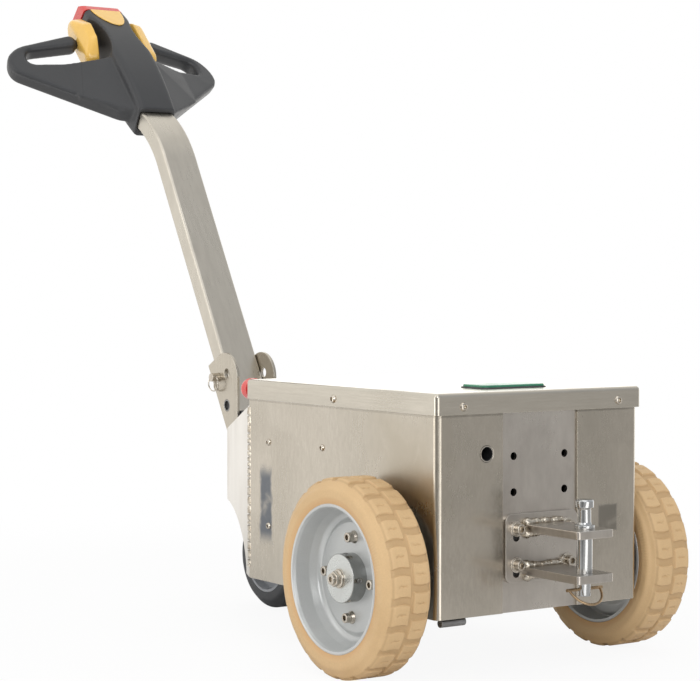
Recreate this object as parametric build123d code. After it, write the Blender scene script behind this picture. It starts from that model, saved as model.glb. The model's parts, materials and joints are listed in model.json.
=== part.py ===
"""Electric tow tractor: stainless body, two drive wheels, a nose castor and a tilting tiller.

Millimetres, +Z up, +X towards the hitch, +Y to the right of someone at the hitch who faces the tiller.
Pieces are drawn with X = 0 on the hitch flanges and Z = 0 on the floor, and moved to the part's frame last.
"""
import math
import os

from build123d import *

# Body shell
BODY_LENGTH = 436.5
BODY_WIDTH = 323.5
SHEET = 3.0
FOLD_RADIUS = 8.0
LID_TOP = 356.0
LID_SKIRT = 27.0
LID_SHEET = 2.0
LID_CLEARANCE = 1.0
LID_EDGE_RADIUS = 5.0
HITCH_SLOT_WIDTH = 120.0
HITCH_PLATE_LAP = 12.0
HITCH_PLATE_THICK = 6.0

# Tapped holes of the hitch plate, rows counted from the lowest
HOLE_SPAN = 82.0
HOLE_PITCH = 45.0
HOLE_FIRST_Z = 139.5
HOLE_ROWS = 4
TAPPED_HOLE_DIA = 10.0

# Fittings on the body
SOCKET_DIA = 20.6
SOCKET_OFFSET = 85.5
SOCKET_Z = 279.5
SOCKET_DEPTH = 24.0
SOCKET_WALL = 2.2
PANEL_SIZE_X = 48.0
PANEL_SIZE_Y = 100.0
PANEL_SETBACK = 75.0
PANEL_RISE = 3.0
PANEL_CORNER = 6.0
GASKET_MARGIN = 2.5
GASKET_RISE = 1.5
STOP_INSET = 18.75
STOP_Z = 341.0
STOP_COLLAR_DIA = 24.0
STOP_COLLAR_LENGTH = 12.0
STOP_HEAD_DIA = 30.0
STOP_HEAD_LENGTH = 22.0
STOP_HEAD_ROUND = 12.0
HINGE_DIA = 10.0
HINGE_LENGTH = 37.0
HINGE_INSET = 28.75
HINGE_LEAF_LENGTH = 60.0
HINGE_LEAF_THICK = 2.0

# Drive wheels
TYRE_DIA = 250.0
TYRE_WIDTH = 70.0
TYRE_CLEARANCE = 13.75
TYRE_SECTION = 32.5
TYRE_SHOULDER = 9.0
TYRE_SHOULDER_ROUND = 6.0
SIDEWALL_RISE = 9.0
SIDEWALL_ROUND = 8.0
TREAD_PITCHES = 22
TREAD_GROOVE_WIDTH = 8.0
TREAD_GROOVE_DEPTH = 4.5
TREAD_ROW_WIDTH = 30.0
AXLE_SETBACK = 106.5
AXLE_RISE = 45.0
RIM_WALL = 4.0
BEAD_GAP = 0.2
RIM_LIP_INSET = 1.5
DISC_RECESS = 32.0
DISC_THICK = 7.0
DISH_WIDTH = 24.0
DISH_BEND_INSET = 9.0
DISH_BEND_DEPTH = 20.0
DISH_ROUND = 12.0
DISC_ROUND = 5.0
HUB_DIA = 60.0
HUB_LENGTH = 20.0
HUB_EDGE = 1.0
HUB_WASHER_DIA = 24.0
HUB_WASHER_THICK = 2.0
HUB_NUT_FLATS = 19.0
HUB_NUT_LENGTH = 8.0
STUD_DIA = 12.0
STUD_LENGTH = 14.0
SHAFT_DIA = 25.0
RUNNING_GAP = 0.05
SEAT_GAP = 0.2

# Drive unit and battery, closed inside the body
AXLE_TUBE_DIA = 56.0
AXLE_TUBE_PROUD = 6.0
GEARBOX_SIZE_X = 110.0
GEARBOX_SIZE_Y = 150.0
GEARBOX_HEIGHT = 84.0
BATTERY_TO_BULKHEAD = 8.5
BATTERY_TO_GEARBOX = 53.5
BATTERY_TO_PANEL = 18.75
BATTERY_HEIGHT = 200.0

# Nose, measured back from the bulkhead or forward from the nose's end
NOSE_LENGTH = 266.5
NOSE_REAR_WIDTH = 79.0
NOSE_TOP_FRONT_Z = 320.0
NOSE_TOP_REAR_Z = 267.0
NOSE_ARCH_TOP_Z = 158.0
NOSE_FOOT_LENGTH = 37.0
NOSE_COVER_SHORT = 48.0
END_PLATE_TOP_Z = 236.0
CASTOR_TOP_Z = 195.0
MOUNT_PLATE_THICK = 5.0
BUFFER_STANDOFF = 24.0
BUFFER_SIZE_X = 23.0
BUFFER_HEIGHT = 95.0

# Castor
CASTOR_DIA = 154.0
CASTOR_WIDTH = 46.0
CASTOR_SETBACK = 146.5
CASTOR_TRAIL = 38.0
CASTOR_RIM_DIA = 106.0
CASTOR_RIM_LIP = 4.0
CASTOR_WEB = 15.0
CASTOR_SHOULDER = 11.0
CASTOR_SHOULDER_ROUND = 9.0
CASTOR_HUB_DIA = 36.0
CASTOR_HUB_LENGTH = 50.0
CASTOR_AXLE_DIA = 10.0
CASTOR_NUT_FLATS = 17.0
CASTOR_NUT_LENGTH = 6.0
FORK_SHEET = 4.0
FORK_GAP = 2.0
FORK_CROWN_Z = 172.0
FORK_CROWN_THICK = 6.0
FORK_CROWN_SIZE = 58.0
FORK_EYE_DIA = 36.0
RACE_DIA = 56.0
RACE_GAP = 0.4
CASTOR_PLATE_X = 100.0
CASTOR_PLATE_Y = 84.0
CASTOR_PLATE_THICK = 5.0
CASTOR_PLATE_CORNER = 8.0
KINGPIN_DIA = 12.0
KINGPIN_HEAD_DIA = 20.0
KINGPIN_HEAD = 4.5

# Tiller bracket
EAR_PLATE = 5.0
EAR_GAP = 0.5
PIVOT_BEHIND = 8.0
PIVOT_Z = 301.0
INDEX_RADIUS = 49.0
EAR_SHOULDER_RISE = 59.0
EAR_TOP_SLOPE = 28.6
EAR_CROWN_RADIUS = 38.0
EAR_FRONT = 31.0
EAR_FOOT = 58.0
EAR_REAR_OFFSET = 19.0
PIVOT_DIA = 18.0
PIVOT_BORE = 14.0
INDEX_HOLE_DIA = 15.0
LOCK_PIN_DIA = 13.0
LOCK_PIN_PROUD = 14.0
LOCK_PIN_END = 5.0

# Tiller arm
ARM_WIDTH = 60.0
ARM_DEPTH = 30.0
ARM_WALL = 3.0
ARM_CORNER = 4.0
ARM_LEAN = 30.2
ARM_PIN_OFFSET = 5.0
ARM_TAIL = 18.0
ARM_STRAIGHT = 441.0
ARM_BEND_RADIUS = 192.0
ARM_BEND_ANGLE = 31.0
ARM_INSERT = 25.0

# Tiller head: lengths along its own axis, which leans back by HEAD_LEAN from the arm's end
HEAD_LEAN = 45.0
HEAD_LENGTH = 296.0
HEAD_SKIRT = 30.0
HEAD_PEAK_U = 180.0
HEAD_TOP_EDGE = 1.0
CAP_LENGTH = 24.0
SCOOP_RADIUS = 150.0
SCOOP_OFFSET = 178.0
SCOOP_FROM_END = 100.0
BUTTON_FROM_END = 27.0
BUTTON_RADIUS = 28.0
BUTTON_RISE = 2.5
BUTTON_ROOT = 10.0

# Hand loops: lengths in the drooping plane of each wing, measured from the grip bar
WING_DROOP = 13.0
WING_THICK = 27.0
WING_EDGE_RADIUS = 7.0
WING_SPAN = 200.0
GRIP_FROM_END = 71.0
GRIP_DEPTH = 28.0
GRIP_SLOPE = 19.0
GRIP_END_W = 70.0
GAP_DEPTH_INNER = 57.0
GAP_DEPTH_OUTER = 33.0
GAP_OUTER_W = 166.0
TIP_DEPTH = 46.0
AXLE_PIN_DIA = 14.0
PADDLE_INNER_W = 44.0
PADDLE_WIDTH = 23.0
PADDLE_LOBE_DIA = 43.0
PADDLE_SPREAD = 66.0
PADDLE_WAIST = 30.0
PADDLE_WAIST_ROUND = 14.0
PADDLE_EDGE_ROUND = 8.0
PADDLE_DROP = 3.0

# Hitch
BASE_WIDTH = 116.0
BASE_HEIGHT = 86.0
BASE_THICK = 6.0
BASE_CORNER = 10.0
BASE_MID_Z = 160.0
SLOT_LENGTH = 22.0
SLOT_DROP = 5.0
CLEVIS_PLATE = 10.0
CLEVIS_GAP = 44.0
CLEVIS_MID_Z = 158.0
CLEVIS_REACH = 106.0
CLEVIS_ROOT_WIDTH = 60.0
CLEVIS_END_WIDTH = 57.0
CLEVIS_CORNER = 4.0
TOW_PIN_X = 84.0
TOW_PIN_DIA = 20.0
TOW_PIN_NECK_DIA = 16.0
TOW_PIN_NECK = 21.0
TOW_PIN_COLLAR_DIA = 25.0
TOW_PIN_COLLAR = 5.0
TOW_PIN_HEAD_DIA = 23.0
TOW_PIN_HEAD = 10.0
TOW_PIN_STEP = 1.0
TOW_PIN_TAIL = 17.0
CLIP_PIN_DIA = 4.0
CLIP_WIRE_DIA = 3.2
CLIP_BOW_RADIUS = 24.0
CLIP_TIP = 4.0
BOLT_DIA = 10.0
BOLT_HEAD_DIA = 13.0
BOLT_HEAD = 9.0
BOLT_WASHER_DIA = 20.0
BOLT_WASHER = 2.0

SIDES = {"left": -1, "right": 1}

# Places that follow from the sizes above
half_width = BODY_WIDTH / 2
half_slot = HITCH_SLOT_WIDTH / 2
lid_under = LID_TOP - LID_SHEET
plate_face_x = -SHEET
base_face_x = plate_face_x + BASE_THICK
axle_x = -AXLE_SETBACK
axle_z = TYRE_DIA / 2
body_bottom = axle_z - AXLE_RISE
rim_radius = TYRE_DIA / 2 - TYRE_SECTION
tyre_inner_y = half_width + TYRE_CLEARANCE
tyre_outer_y = tyre_inner_y + TYRE_WIDTH
tyre_mid_y = tyre_inner_y + TYRE_WIDTH / 2
lip_y = tyre_outer_y - RIM_LIP_INSET
disc_y = lip_y - DISC_RECESS
nose_rear_x = -BODY_LENGTH - NOSE_LENGTH
castor_axis_x = -BODY_LENGTH - CASTOR_SETBACK
castor_axle_x = castor_axis_x - CASTOR_TRAIL
castor_axle_z = CASTOR_DIA / 2
deck_z = CASTOR_TOP_Z + MOUNT_PLATE_THICK
pivot_x = nose_rear_x - PIVOT_BEHIND
ear_inner = ARM_WIDTH / 2 + EAR_GAP
ear_outer = ear_inner + EAR_PLATE
upper_plate_z = CLEVIS_MID_Z + CLEVIS_GAP / 2
lower_plate_z = CLEVIS_MID_Z - CLEVIS_GAP / 2 - CLEVIS_PLATE
collar_z = upper_plate_z + CLEVIS_PLATE
tail_top_z = lower_plate_z - TOW_PIN_STEP
clip_z = tail_top_z - TOW_PIN_TAIL / 2
lean = math.radians(ARM_LEAN)
arm_up = Vector(-math.sin(lean), 0, math.cos(lean))
arm_back = Vector(-math.cos(lean), 0, -math.sin(lean))
pivot = Vector(pivot_x, 0, PIVOT_Z)
lock = pivot + arm_up * INDEX_RADIUS
arm_axis_at_pivot = pivot - arm_back * ARM_PIN_OFFSET


def revolve_about_y(profile, x, z, side):
    """Turn a profile of (radius, distance from the centre line, corner radius) about a crosswise axle."""
    points = [(radius, -side * distance) for radius, distance, _ in profile]
    face = Polygon(*points, align=None)
    for point, (_, _, corner) in zip(points, profile):
        if corner:
            face = fillet(face.vertices().sort_by_distance((*point, 0))[0], corner)
    plane = Plane(origin=(x, 0, z), x_dir=(0, 0, 1), z_dir=(1, 0, 0))
    return revolve(plane * face, Axis((x, 0, z), (0, 1, 0)))


def rod_y(diameter, y_start, y_end, x, z):
    """Solid round bar along Y between two distances."""
    plane = Plane(origin=(x, y_start, z), x_dir=(1, 0, 0), z_dir=(0, 1, 0))
    return extrude(plane * Circle(diameter / 2), y_end - y_start)


def rod_x(diameter, x_start, x_end, y, z):
    """Solid round bar along X between two distances."""
    plane = Plane(origin=(x_start, y, z), x_dir=(0, 1, 0), z_dir=(1, 0, 0))
    return extrude(plane * Circle(diameter / 2), x_end - x_start)


def rod_z(diameter, z_start, z_end, x, y):
    """Solid round bar along Z between two heights."""
    return extrude(Pos(x, y, z_start) * Circle(diameter / 2), z_end - z_start)


def block(x_span, y_span, z_span):
    """Plain box between three pairs of limits."""
    size = [high - low for low, high in (x_span, y_span, z_span)]
    middle = [(high + low) / 2 for low, high in (x_span, y_span, z_span)]
    return Pos(*middle) * Box(*size)


def side_panel(side):
    """Side sheet that folds round the hitch end into a return flange."""
    width = half_width - half_slot
    outer = Pos(-BODY_LENGTH / 2, half_slot + width / 2) * Rectangle(BODY_LENGTH, width)
    outer = fillet(outer.vertices().sort_by(lambda v: v.X + v.Y)[-1], FOLD_RADIUS)
    inner = Pos(-BODY_LENGTH / 2 - SHEET, half_slot + width / 2 - SHEET) * Rectangle(BODY_LENGTH, width)
    inner = fillet(inner.vertices().sort_by(lambda v: v.X + v.Y)[-1], FOLD_RADIUS - SHEET)
    panel = extrude(Pos(0, 0, body_bottom) * (outer - inner), lid_under - body_bottom)
    panel -= rod_y(AXLE_TUBE_DIA + 2 * SEAT_GAP, 0, 2 * half_width, axle_x, axle_z)
    if side < 0:
        panel = mirror(panel, Plane.XZ)
        panel -= rod_x(SOCKET_DIA + 2 * SEAT_GAP, -2 * SHEET, SHEET, -SOCKET_OFFSET, SOCKET_Z)
    return panel


def hole_places(rows):
    """Centres, in Y and Z, of the tapped holes in the named rows."""
    return [(y, HOLE_FIRST_Z + row * HOLE_PITCH) for row in rows for y in (-HOLE_SPAN / 2, HOLE_SPAN / 2)]


def hitch_plate():
    """Thick plate behind the return flanges, with its tapped holes."""
    half = half_slot + HITCH_PLATE_LAP
    back_x = plate_face_x - HITCH_PLATE_THICK
    plate = block((back_x, plate_face_x), (-half, half), (body_bottom, lid_under))
    for y, z in hole_places(range(HOLE_ROWS)):
        plate -= rod_x(TAPPED_HOLE_DIA, back_x - SHEET, plate_face_x + SHEET, y, z)
    return plate


def lid():
    """Screwed lid: a tray with rounded edges that rests on the panels' top edges."""
    length = BODY_LENGTH + 2 * (LID_CLEARANCE + LID_SHEET)
    width = BODY_WIDTH + 2 * (LID_CLEARANCE + LID_SHEET)
    bottom = LID_TOP - LID_SKIRT
    outer = extrude(Pos(-BODY_LENGTH / 2, 0, bottom) * Rectangle(length, width), LID_SKIRT)
    edges = outer.edges().filter_by(Axis.Z) + outer.faces().sort_by(Axis.Z)[-1].edges()
    outer = fillet(edges, LID_EDGE_RADIUS)
    inner = RectangleRounded(length - 2 * LID_SHEET, width - 2 * LID_SHEET, LID_EDGE_RADIUS - LID_SHEET)
    inner = extrude(Pos(-BODY_LENGTH / 2, 0, bottom) * inner, LID_SKIRT - LID_SHEET)
    return outer - inner


def bulkhead():
    """Wall at the tiller end, between the side panels."""
    half = half_width - SHEET
    return block((-BODY_LENGTH, -BODY_LENGTH + SHEET), (-half, half), (body_bottom, lid_under))


def floor_plate():
    """Floor between the panels, from the bulkhead to the hitch plate."""
    half = half_width - SHEET
    span = (-BODY_LENGTH + SHEET, plate_face_x - HITCH_PLATE_THICK)
    return block(span, (-half, half), (body_bottom, body_bottom + SHEET))


def belly_hinge():
    """Knuckle and leaf of the belly flap's hinge, under the floor at the hitch end."""
    knuckle_x = -HINGE_DIA / 2 - SHEET
    knuckle_z = body_bottom - HINGE_DIA / 2
    middle = half_width - HINGE_INSET
    y_span = (-middle - HINGE_LENGTH / 2, -middle + HINGE_LENGTH / 2)
    leaf_z = (body_bottom - HINGE_LEAF_THICK, body_bottom)
    leaf = block((knuckle_x - HINGE_LEAF_LENGTH, knuckle_x), y_span, leaf_z)
    return leaf + rod_y(HINGE_DIA, *y_span, knuckle_x, knuckle_z)


def charge_socket():
    """Open cup of the charging socket, set in the left return flange."""
    cup = rod_x(SOCKET_DIA, -SOCKET_DEPTH, 0, -SOCKET_OFFSET, SOCKET_Z)
    well_dia = SOCKET_DIA - 2 * SOCKET_WALL
    return cup - rod_x(well_dia, -SOCKET_DEPTH + SOCKET_WALL, SOCKET_WALL, -SOCKET_OFFSET, SOCKET_Z)


def lid_panel(margin, z_low, rise):
    """Rounded plate on the lid round the indicator's middle."""
    shape = RectangleRounded(PANEL_SIZE_X + 2 * margin, PANEL_SIZE_Y + 2 * margin, PANEL_CORNER + margin)
    plate = extrude(Pos(-PANEL_SETBACK, 0, z_low) * shape, rise)
    return chamfer(plate.faces().sort_by(Axis.Z)[-1].edges(), rise / 3)


def emergency_stop():
    """Mushroom push button on the lid's rear skirt."""
    skirt_x = -BODY_LENGTH - LID_CLEARANCE - LID_SHEET
    head_x = skirt_x - STOP_COLLAR_LENGTH
    y = STOP_INSET - half_width
    collar = rod_x(STOP_COLLAR_DIA, head_x, skirt_x, y, STOP_Z)
    head = rod_x(STOP_HEAD_DIA, head_x - STOP_HEAD_LENGTH, head_x, y, STOP_Z)
    return collar + fillet(head.faces().sort_by(Axis.X)[0].edges(), STOP_HEAD_ROUND)


def nose_plane(side):
    """Plane of a nose side's outer face: X runs along the plate to the rear, Y is up."""
    start = Vector(-BODY_LENGTH, side * half_width, 0)
    run = Vector(nose_rear_x, side * NOSE_REAR_WIDTH / 2, 0) - start
    return Plane(origin=start, x_dir=run, z_dir=run.cross(Vector(0, 0, 1))), run.length


def nose_side(side):
    """Converging nose plate with a sloping top edge and an elliptical arch over the castor."""
    plane, run = nose_plane(side)
    arch = Ellipse(run - NOSE_FOOT_LENGTH, NOSE_ARCH_TOP_Z - body_bottom)
    rear_top = (run, NOSE_TOP_REAR_Z)
    outline = Polygon((0, body_bottom), (run, body_bottom), rear_top, (0, NOSE_TOP_FRONT_Z), align=None)
    outline -= Pos(run, body_bottom) * arch
    outward = plane.z_dir.Y * side
    plate = extrude(plane * outline, -SHEET if outward > 0 else SHEET)
    return plate & block((nose_rear_x, -BODY_LENGTH), (-half_width, half_width), (0, LID_TOP))


def nose_inner_half(x):
    """Half the clear width between the nose sides at a place along X."""
    slope = (half_width - NOSE_REAR_WIDTH / 2) / NOSE_LENGTH
    wall = SHEET * math.hypot(1, slope)
    return NOSE_REAR_WIDTH / 2 + (x - nose_rear_x) * slope - wall - SEAT_GAP


def nose_deck(x_rear, x_front, z_low, thick):
    """Level plate that fills the nose between two places along X."""
    front = nose_inner_half(x_front)
    rear = nose_inner_half(x_rear)
    outline = Polygon((x_rear, -rear), (x_front, -front), (x_front, front), (x_rear, rear), align=None)
    return extrude(Pos(0, 0, z_low) * outline, thick)


def castor_mount_plate():
    """Deck that carries the castor, across the whole nose."""
    return nose_deck(nose_rear_x + SHEET, -BODY_LENGTH, CASTOR_TOP_Z, MOUNT_PLATE_THICK)


def nose_end_plate():
    """Upright plate that closes the nose below the tiller's foot."""
    half = nose_inner_half(nose_rear_x)
    return block((nose_rear_x, nose_rear_x + SHEET), (-half, half), (NOSE_ARCH_TOP_Z, END_PLATE_TOP_Z))


def nose_cover():
    """Sloping sheet between the nose sides, cut off short of the tiller's foot."""
    end_x = nose_rear_x + NOSE_COVER_SHORT
    slope = (NOSE_TOP_FRONT_Z - NOSE_TOP_REAR_Z) / NOSE_LENGTH
    end_z = NOSE_TOP_FRONT_Z + slope * (end_x + BODY_LENGTH)
    section = Polygon(
        (-BODY_LENGTH, NOSE_TOP_FRONT_Z),
        (-BODY_LENGTH, NOSE_TOP_FRONT_Z - SHEET),
        (end_x, end_z - SHEET),
        (end_x, end_z),
        align=None,
    )
    strip = extrude(Plane.XZ * section, half_width, both=True)
    return strip & nose_deck(end_x, -BODY_LENGTH, 0, LID_TOP)


def ear_outline():
    """Side view of a tiller ear in X and Z: leaning rear edge, sloping shoulder, round front crown."""
    rear = pivot + arm_back * EAR_REAR_OFFSET
    shoulder = rear + arm_up * ((PIVOT_Z + EAR_SHOULDER_RISE - rear.Z) / arm_up.Z)
    inside = rear - arm_up * ((nose_rear_x + SHEET - rear.X) / -arm_up.X)
    front_x = pivot_x + EAR_FRONT
    crown_z = shoulder.Z + (front_x - shoulder.X) * math.tan(math.radians(EAR_TOP_SLOPE))
    outline = Polygon(
        (inside.X, deck_z),
        (nose_rear_x + EAR_FOOT, deck_z),
        (front_x, PIVOT_Z - EAR_REAR_OFFSET),
        (front_x, crown_z),
        (shoulder.X, shoulder.Z),
        (inside.X, inside.Z),
        align=None,
    )
    crown = outline.vertices().sort_by_distance((front_x, crown_z, 0))[0]
    return fillet(crown, EAR_CROWN_RADIUS)


def tiller_ear(side):
    """Bracket plate beside the arm, with pivot, index and lock holes."""
    plate = extrude(Plane.XZ * ear_outline(), EAR_PLATE)
    plate = Pos(0, ear_outer if side > 0 else -ear_inner, 0) * plate
    # Columns: place along X, height, diameter
    holes = [
        (pivot_x, PIVOT_Z, PIVOT_DIA + 2 * RUNNING_GAP),
        (pivot_x, PIVOT_Z + INDEX_RADIUS, INDEX_HOLE_DIA),
        (lock.X, lock.Z, LOCK_PIN_DIA + 2 * RUNNING_GAP),
    ]
    for x, z, diameter in holes:
        plate -= rod_y(diameter, -2 * ear_outer, 2 * ear_outer, x, z)
    return plate


def tiller_pivot():
    """Hollow pivot bush through both ears and the arm."""
    bush = rod_y(PIVOT_DIA, -ear_outer, ear_outer, pivot_x, PIVOT_Z)
    return bush - rod_y(PIVOT_BORE, -2 * ear_outer, 2 * ear_outer, pivot_x, PIVOT_Z)


def lock_pin():
    """Visible ends of the lock pin, one in each ear."""
    near = rod_y(LOCK_PIN_DIA, -ear_outer - LOCK_PIN_PROUD, -ear_inner, lock.X, lock.Z)
    far = rod_y(LOCK_PIN_DIA, ear_inner, ear_outer + LOCK_PIN_END, lock.X, lock.Z)
    return Compound([near, far])


def foot_buffer():
    """Rubber block between the ears, in front of the arm's foot."""
    half = ear_inner - SEAT_GAP
    rear_x = nose_rear_x + BUFFER_STANDOFF
    return block((rear_x, rear_x + BUFFER_SIZE_X), (-half, half), (deck_z, deck_z + BUFFER_HEIGHT))


def arm_path():
    """Centre line of the arm: straight run, tangent bend back, short run inside the head."""
    start = arm_axis_at_pivot - arm_up * ARM_TAIL
    bend = arm_axis_at_pivot + arm_up * ARM_STRAIGHT
    centre = bend + arm_back * ARM_BEND_RADIUS
    spoke = bend - centre
    middle = centre + spoke.rotate(Axis.Y, -ARM_BEND_ANGLE / 2)
    end = centre + spoke.rotate(Axis.Y, -ARM_BEND_ANGLE)
    end_way = arm_up.rotate(Axis.Y, -ARM_BEND_ANGLE)
    run = Line(start, bend) + ThreePointArc(bend, middle, end) + Line(end, end + end_way * ARM_INSERT)
    return run, start, end, end_way


def arm_sweep(section):
    """Carry a section along the arm's centre line."""
    path, start, _, _ = arm_path()
    plane = Plane(origin=start, x_dir=(0, 1, 0), z_dir=arm_up)
    return sweep(plane * section, path=path)


def tiller_arm():
    """Bent rectangular tube with the bores for pivot and lock pin."""
    section = RectangleRounded(ARM_WIDTH, ARM_DEPTH, ARM_CORNER)
    section -= Rectangle(ARM_WIDTH - 2 * ARM_WALL, ARM_DEPTH - 2 * ARM_WALL)
    tube = arm_sweep(section)
    tube -= rod_y(PIVOT_DIA + 2 * RUNNING_GAP, -ARM_WIDTH, ARM_WIDTH, pivot_x, PIVOT_Z)
    return tube - rod_y(LOCK_PIN_DIA, -ARM_WIDTH, ARM_WIDTH, lock.X, lock.Z)


head_tilt = math.radians(HEAD_LEAN)
head_along = Vector(-math.sin(head_tilt), 0, math.cos(head_tilt))
head_front = Vector(math.cos(head_tilt), 0, math.sin(head_tilt))
_, _, head_origin, arm_end_way = arm_path()
grip_top_u = HEAD_LENGTH - GRIP_FROM_END
grip_mid_u = grip_top_u - GRIP_DEPTH / 2

# Sections of the moulded core. Columns: place along the axis, width, front face, back face, corner radius
HEAD_SECTIONS = [
    (-HEAD_SKIRT, 66.0, 12.5, -22.0, 7.0),
    (HEAD_PEAK_U, 78.0, 30.0, -38.0, 9.0),
    (HEAD_LENGTH - BUTTON_FROM_END, 76.0, 15.5, -41.0, 8.0),
    (HEAD_LENGTH, 74.0, 9.5, -44.0, 8.0),
]


def head_section(u, width, front, back, corner):
    """Rounded section across the head at a distance along its axis."""
    origin = head_origin + head_along * u + head_front * ((front + back) / 2)
    plane = Plane(origin=origin, x_dir=(0, -1, 0), z_dir=head_along)
    return plane * RectangleRounded(width, front - back, corner)


def beyond(origin, way):
    """Half space past a plane, as a block that is larger than the head."""
    size = 2 * (HEAD_LENGTH + BODY_WIDTH)
    return extrude(Plane(origin=origin, z_dir=way) * Rectangle(size, size), size)


def head_body():
    """Whole moulded core: lofted, cut level on top and square to the arm below, scooped for the paddles."""
    body = loft([head_section(*row) for row in HEAD_SECTIONS])
    top_edge = head_origin + head_along * HEAD_LENGTH + head_front * HEAD_TOP_EDGE
    body -= beyond(top_edge, Vector(0, 0, 1))
    body -= beyond(head_origin, arm_end_way * -1)
    depth = HEAD_LENGTH
    for side in SIDES.values():
        middle = head_origin + head_along * (HEAD_LENGTH - SCOOP_FROM_END)
        middle += Vector(0, side * SCOOP_OFFSET, 0)
        scoop = extrude(Plane(origin=middle, z_dir=head_front) * Circle(SCOOP_RADIUS), depth, both=True)
        body -= scoop
    return body


def cap_space():
    """Space past the seam between core and red cap."""
    return beyond(head_origin + head_along * (HEAD_LENGTH - CAP_LENGTH), head_along)


def head_core():
    """Central moulding of the head, hollow where the arm enters."""
    socket = Rectangle(ARM_WIDTH + 2 * SEAT_GAP, ARM_DEPTH + 2 * SEAT_GAP)
    return head_body() - cap_space() - arm_sweep(socket)


def red_cap():
    """Red push button that closes the head's end, level on top."""
    return head_body() & cap_space()


def wing_plane(side):
    """Plane of a hand loop: X along the head's axis, Y outwards and drooping to the rear."""
    droop = math.radians(WING_DROOP)
    outward = Vector(0, side * math.cos(droop), 0) - head_front * math.sin(droop)
    return Plane(origin=head_origin, x_dir=head_along, z_dir=head_along.cross(outward))


def loop_corners():
    """Corners of a hand loop in its plane. Columns: along the axis, outwards, corner radius."""
    grip_low = grip_top_u - GRIP_DEPTH
    return [
        (10.0, 20.0, 0.0),
        (22.0, 54.0, 40.0),
        (grip_low - TIP_DEPTH, WING_SPAN, 32.0),
        (grip_top_u - GRIP_SLOPE, WING_SPAN, 44.0),
        (grip_top_u, GRIP_END_W, 11.5),
        (grip_low, GRIP_END_W, 11.5),
        (grip_low, GAP_OUTER_W, 15.0),
        (grip_low - GAP_DEPTH_OUTER, GAP_OUTER_W, 15.0),
        (grip_low - GAP_DEPTH_INNER, 20.0, 0.0),
    ]


def is_rim(edge, plane):
    """Tell whether an edge lies in one of the loop's two faces."""
    heights = [plane.to_local_coords(edge.position_at(t)).Z for t in (0.0, 0.5, 1.0)]
    return all(abs(abs(height) - WING_THICK / 2) < SEAT_GAP for height in heights)


def axle_pin(side, diameter):
    """Pin from the core through the paddle to the grip bar's end."""
    plane = wing_plane(side)
    start = head_origin + head_along * grip_mid_u
    ring = Plane(origin=start, x_dir=head_along, z_dir=plane.y_dir) * Circle(diameter / 2)
    return extrude(ring, GRIP_END_W + GRIP_DEPTH / 2)


def hand_loop(side):
    """Wing and grip bar of one hand, open where the paddle turns on the bar's axle pin."""
    plane = wing_plane(side)
    corners = loop_corners()
    outline = Polygon(*[(u, w) for u, w, _ in corners], align=None)
    for u, w, radius in corners:
        if radius:
            outline = fillet(outline.vertices().sort_by_distance((u, w, 0))[0], radius)
    loop = extrude(plane * outline, WING_THICK / 2, both=True)
    loop = fillet(loop.edges().filter_by(lambda edge: is_rim(edge, plane)), WING_EDGE_RADIUS)
    return loop + axle_pin(side, AXLE_PIN_DIA) - head_body()


def thumb_paddle(side):
    """Two-lobed rocker that turns on the axle pin beside the core."""
    outward = wing_plane(side).y_dir
    origin = head_origin + head_along * grip_mid_u + outward * PADDLE_INNER_W
    plane = Plane(origin=origin, x_dir=head_along, z_dir=outward)
    shape = Rectangle(PADDLE_SPREAD, PADDLE_WAIST)
    for end in (-0.5, 0.5):
        shape += Pos(end * PADDLE_SPREAD, 0) * Circle(PADDLE_LOBE_DIA / 2)
    waist = shape.vertices().filter_by(lambda v: abs(v.X) < PADDLE_SPREAD / 2)
    shape = fillet(waist, PADDLE_WAIST_ROUND)
    rocker = extrude(plane * Pos(-PADDLE_DROP, 0) * shape, PADDLE_WIDTH)
    rocker = fillet(rocker.faces().sort_by(Axis(origin, outward))[-1].edges(), PADDLE_EDGE_ROUND)
    return rocker - axle_pin(side, AXLE_PIN_DIA + 2 * RUNNING_GAP)


def front_way():
    """Direction that the front face looks in where the half-moon button sits, by the sections beside it."""
    (u_low, _, n_low, _, _), (u_high, _, n_high, _, _) = HEAD_SECTIONS[1], HEAD_SECTIONS[3]
    run = head_along * (u_high - u_low) + head_front * (n_high - n_low)
    return run.cross(Vector(0, 1, 0)) * -1


def top_button():
    """Half-moon button on the head's front face."""
    u = HEAD_LENGTH - BUTTON_FROM_END
    way = front_way()
    origin = head_origin + head_along * u + head_front * HEAD_SECTIONS[-2][2]
    plane = Plane(origin=origin, x_dir=(0, 1, 0), z_dir=way)
    moon = Circle(BUTTON_RADIUS) - Pos(0, BUTTON_RADIUS) * Rectangle(4 * BUTTON_RADIUS, 2 * BUTTON_RADIUS)
    return extrude(plane * moon, BUTTON_RISE) + extrude(plane * moon, -BUTTON_ROOT) - head_body()


def tread_grooves(side):
    """Cutters of the crosswise grooves: two rows, open at the shoulders, half a pitch apart."""
    crown = TYRE_DIA / 2
    half = TREAD_GROOVE_WIDTH / 2
    pitch = 360 / TREAD_PITCHES
    # Columns: start and end from the centre line, turn of the row
    rows = [
        (tyre_inner_y - TYRE_SHOULDER, tyre_inner_y + TREAD_ROW_WIDTH, 0.0),
        (tyre_outer_y - TREAD_ROW_WIDTH, tyre_outer_y + TYRE_SHOULDER, pitch / 2),
    ]
    cutters = []
    for start, end, turn in rows:
        span = sorted((side * start, side * end))
        cutter = block((-half, half), span, (crown - TREAD_GROOVE_DEPTH, crown + TREAD_GROOVE_DEPTH))
        for step in range(TREAD_PITCHES):
            cutters.append(Pos(axle_x, 0, axle_z) * Rot(0, turn + step * pitch, 0) * cutter)
    return cutters


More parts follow.
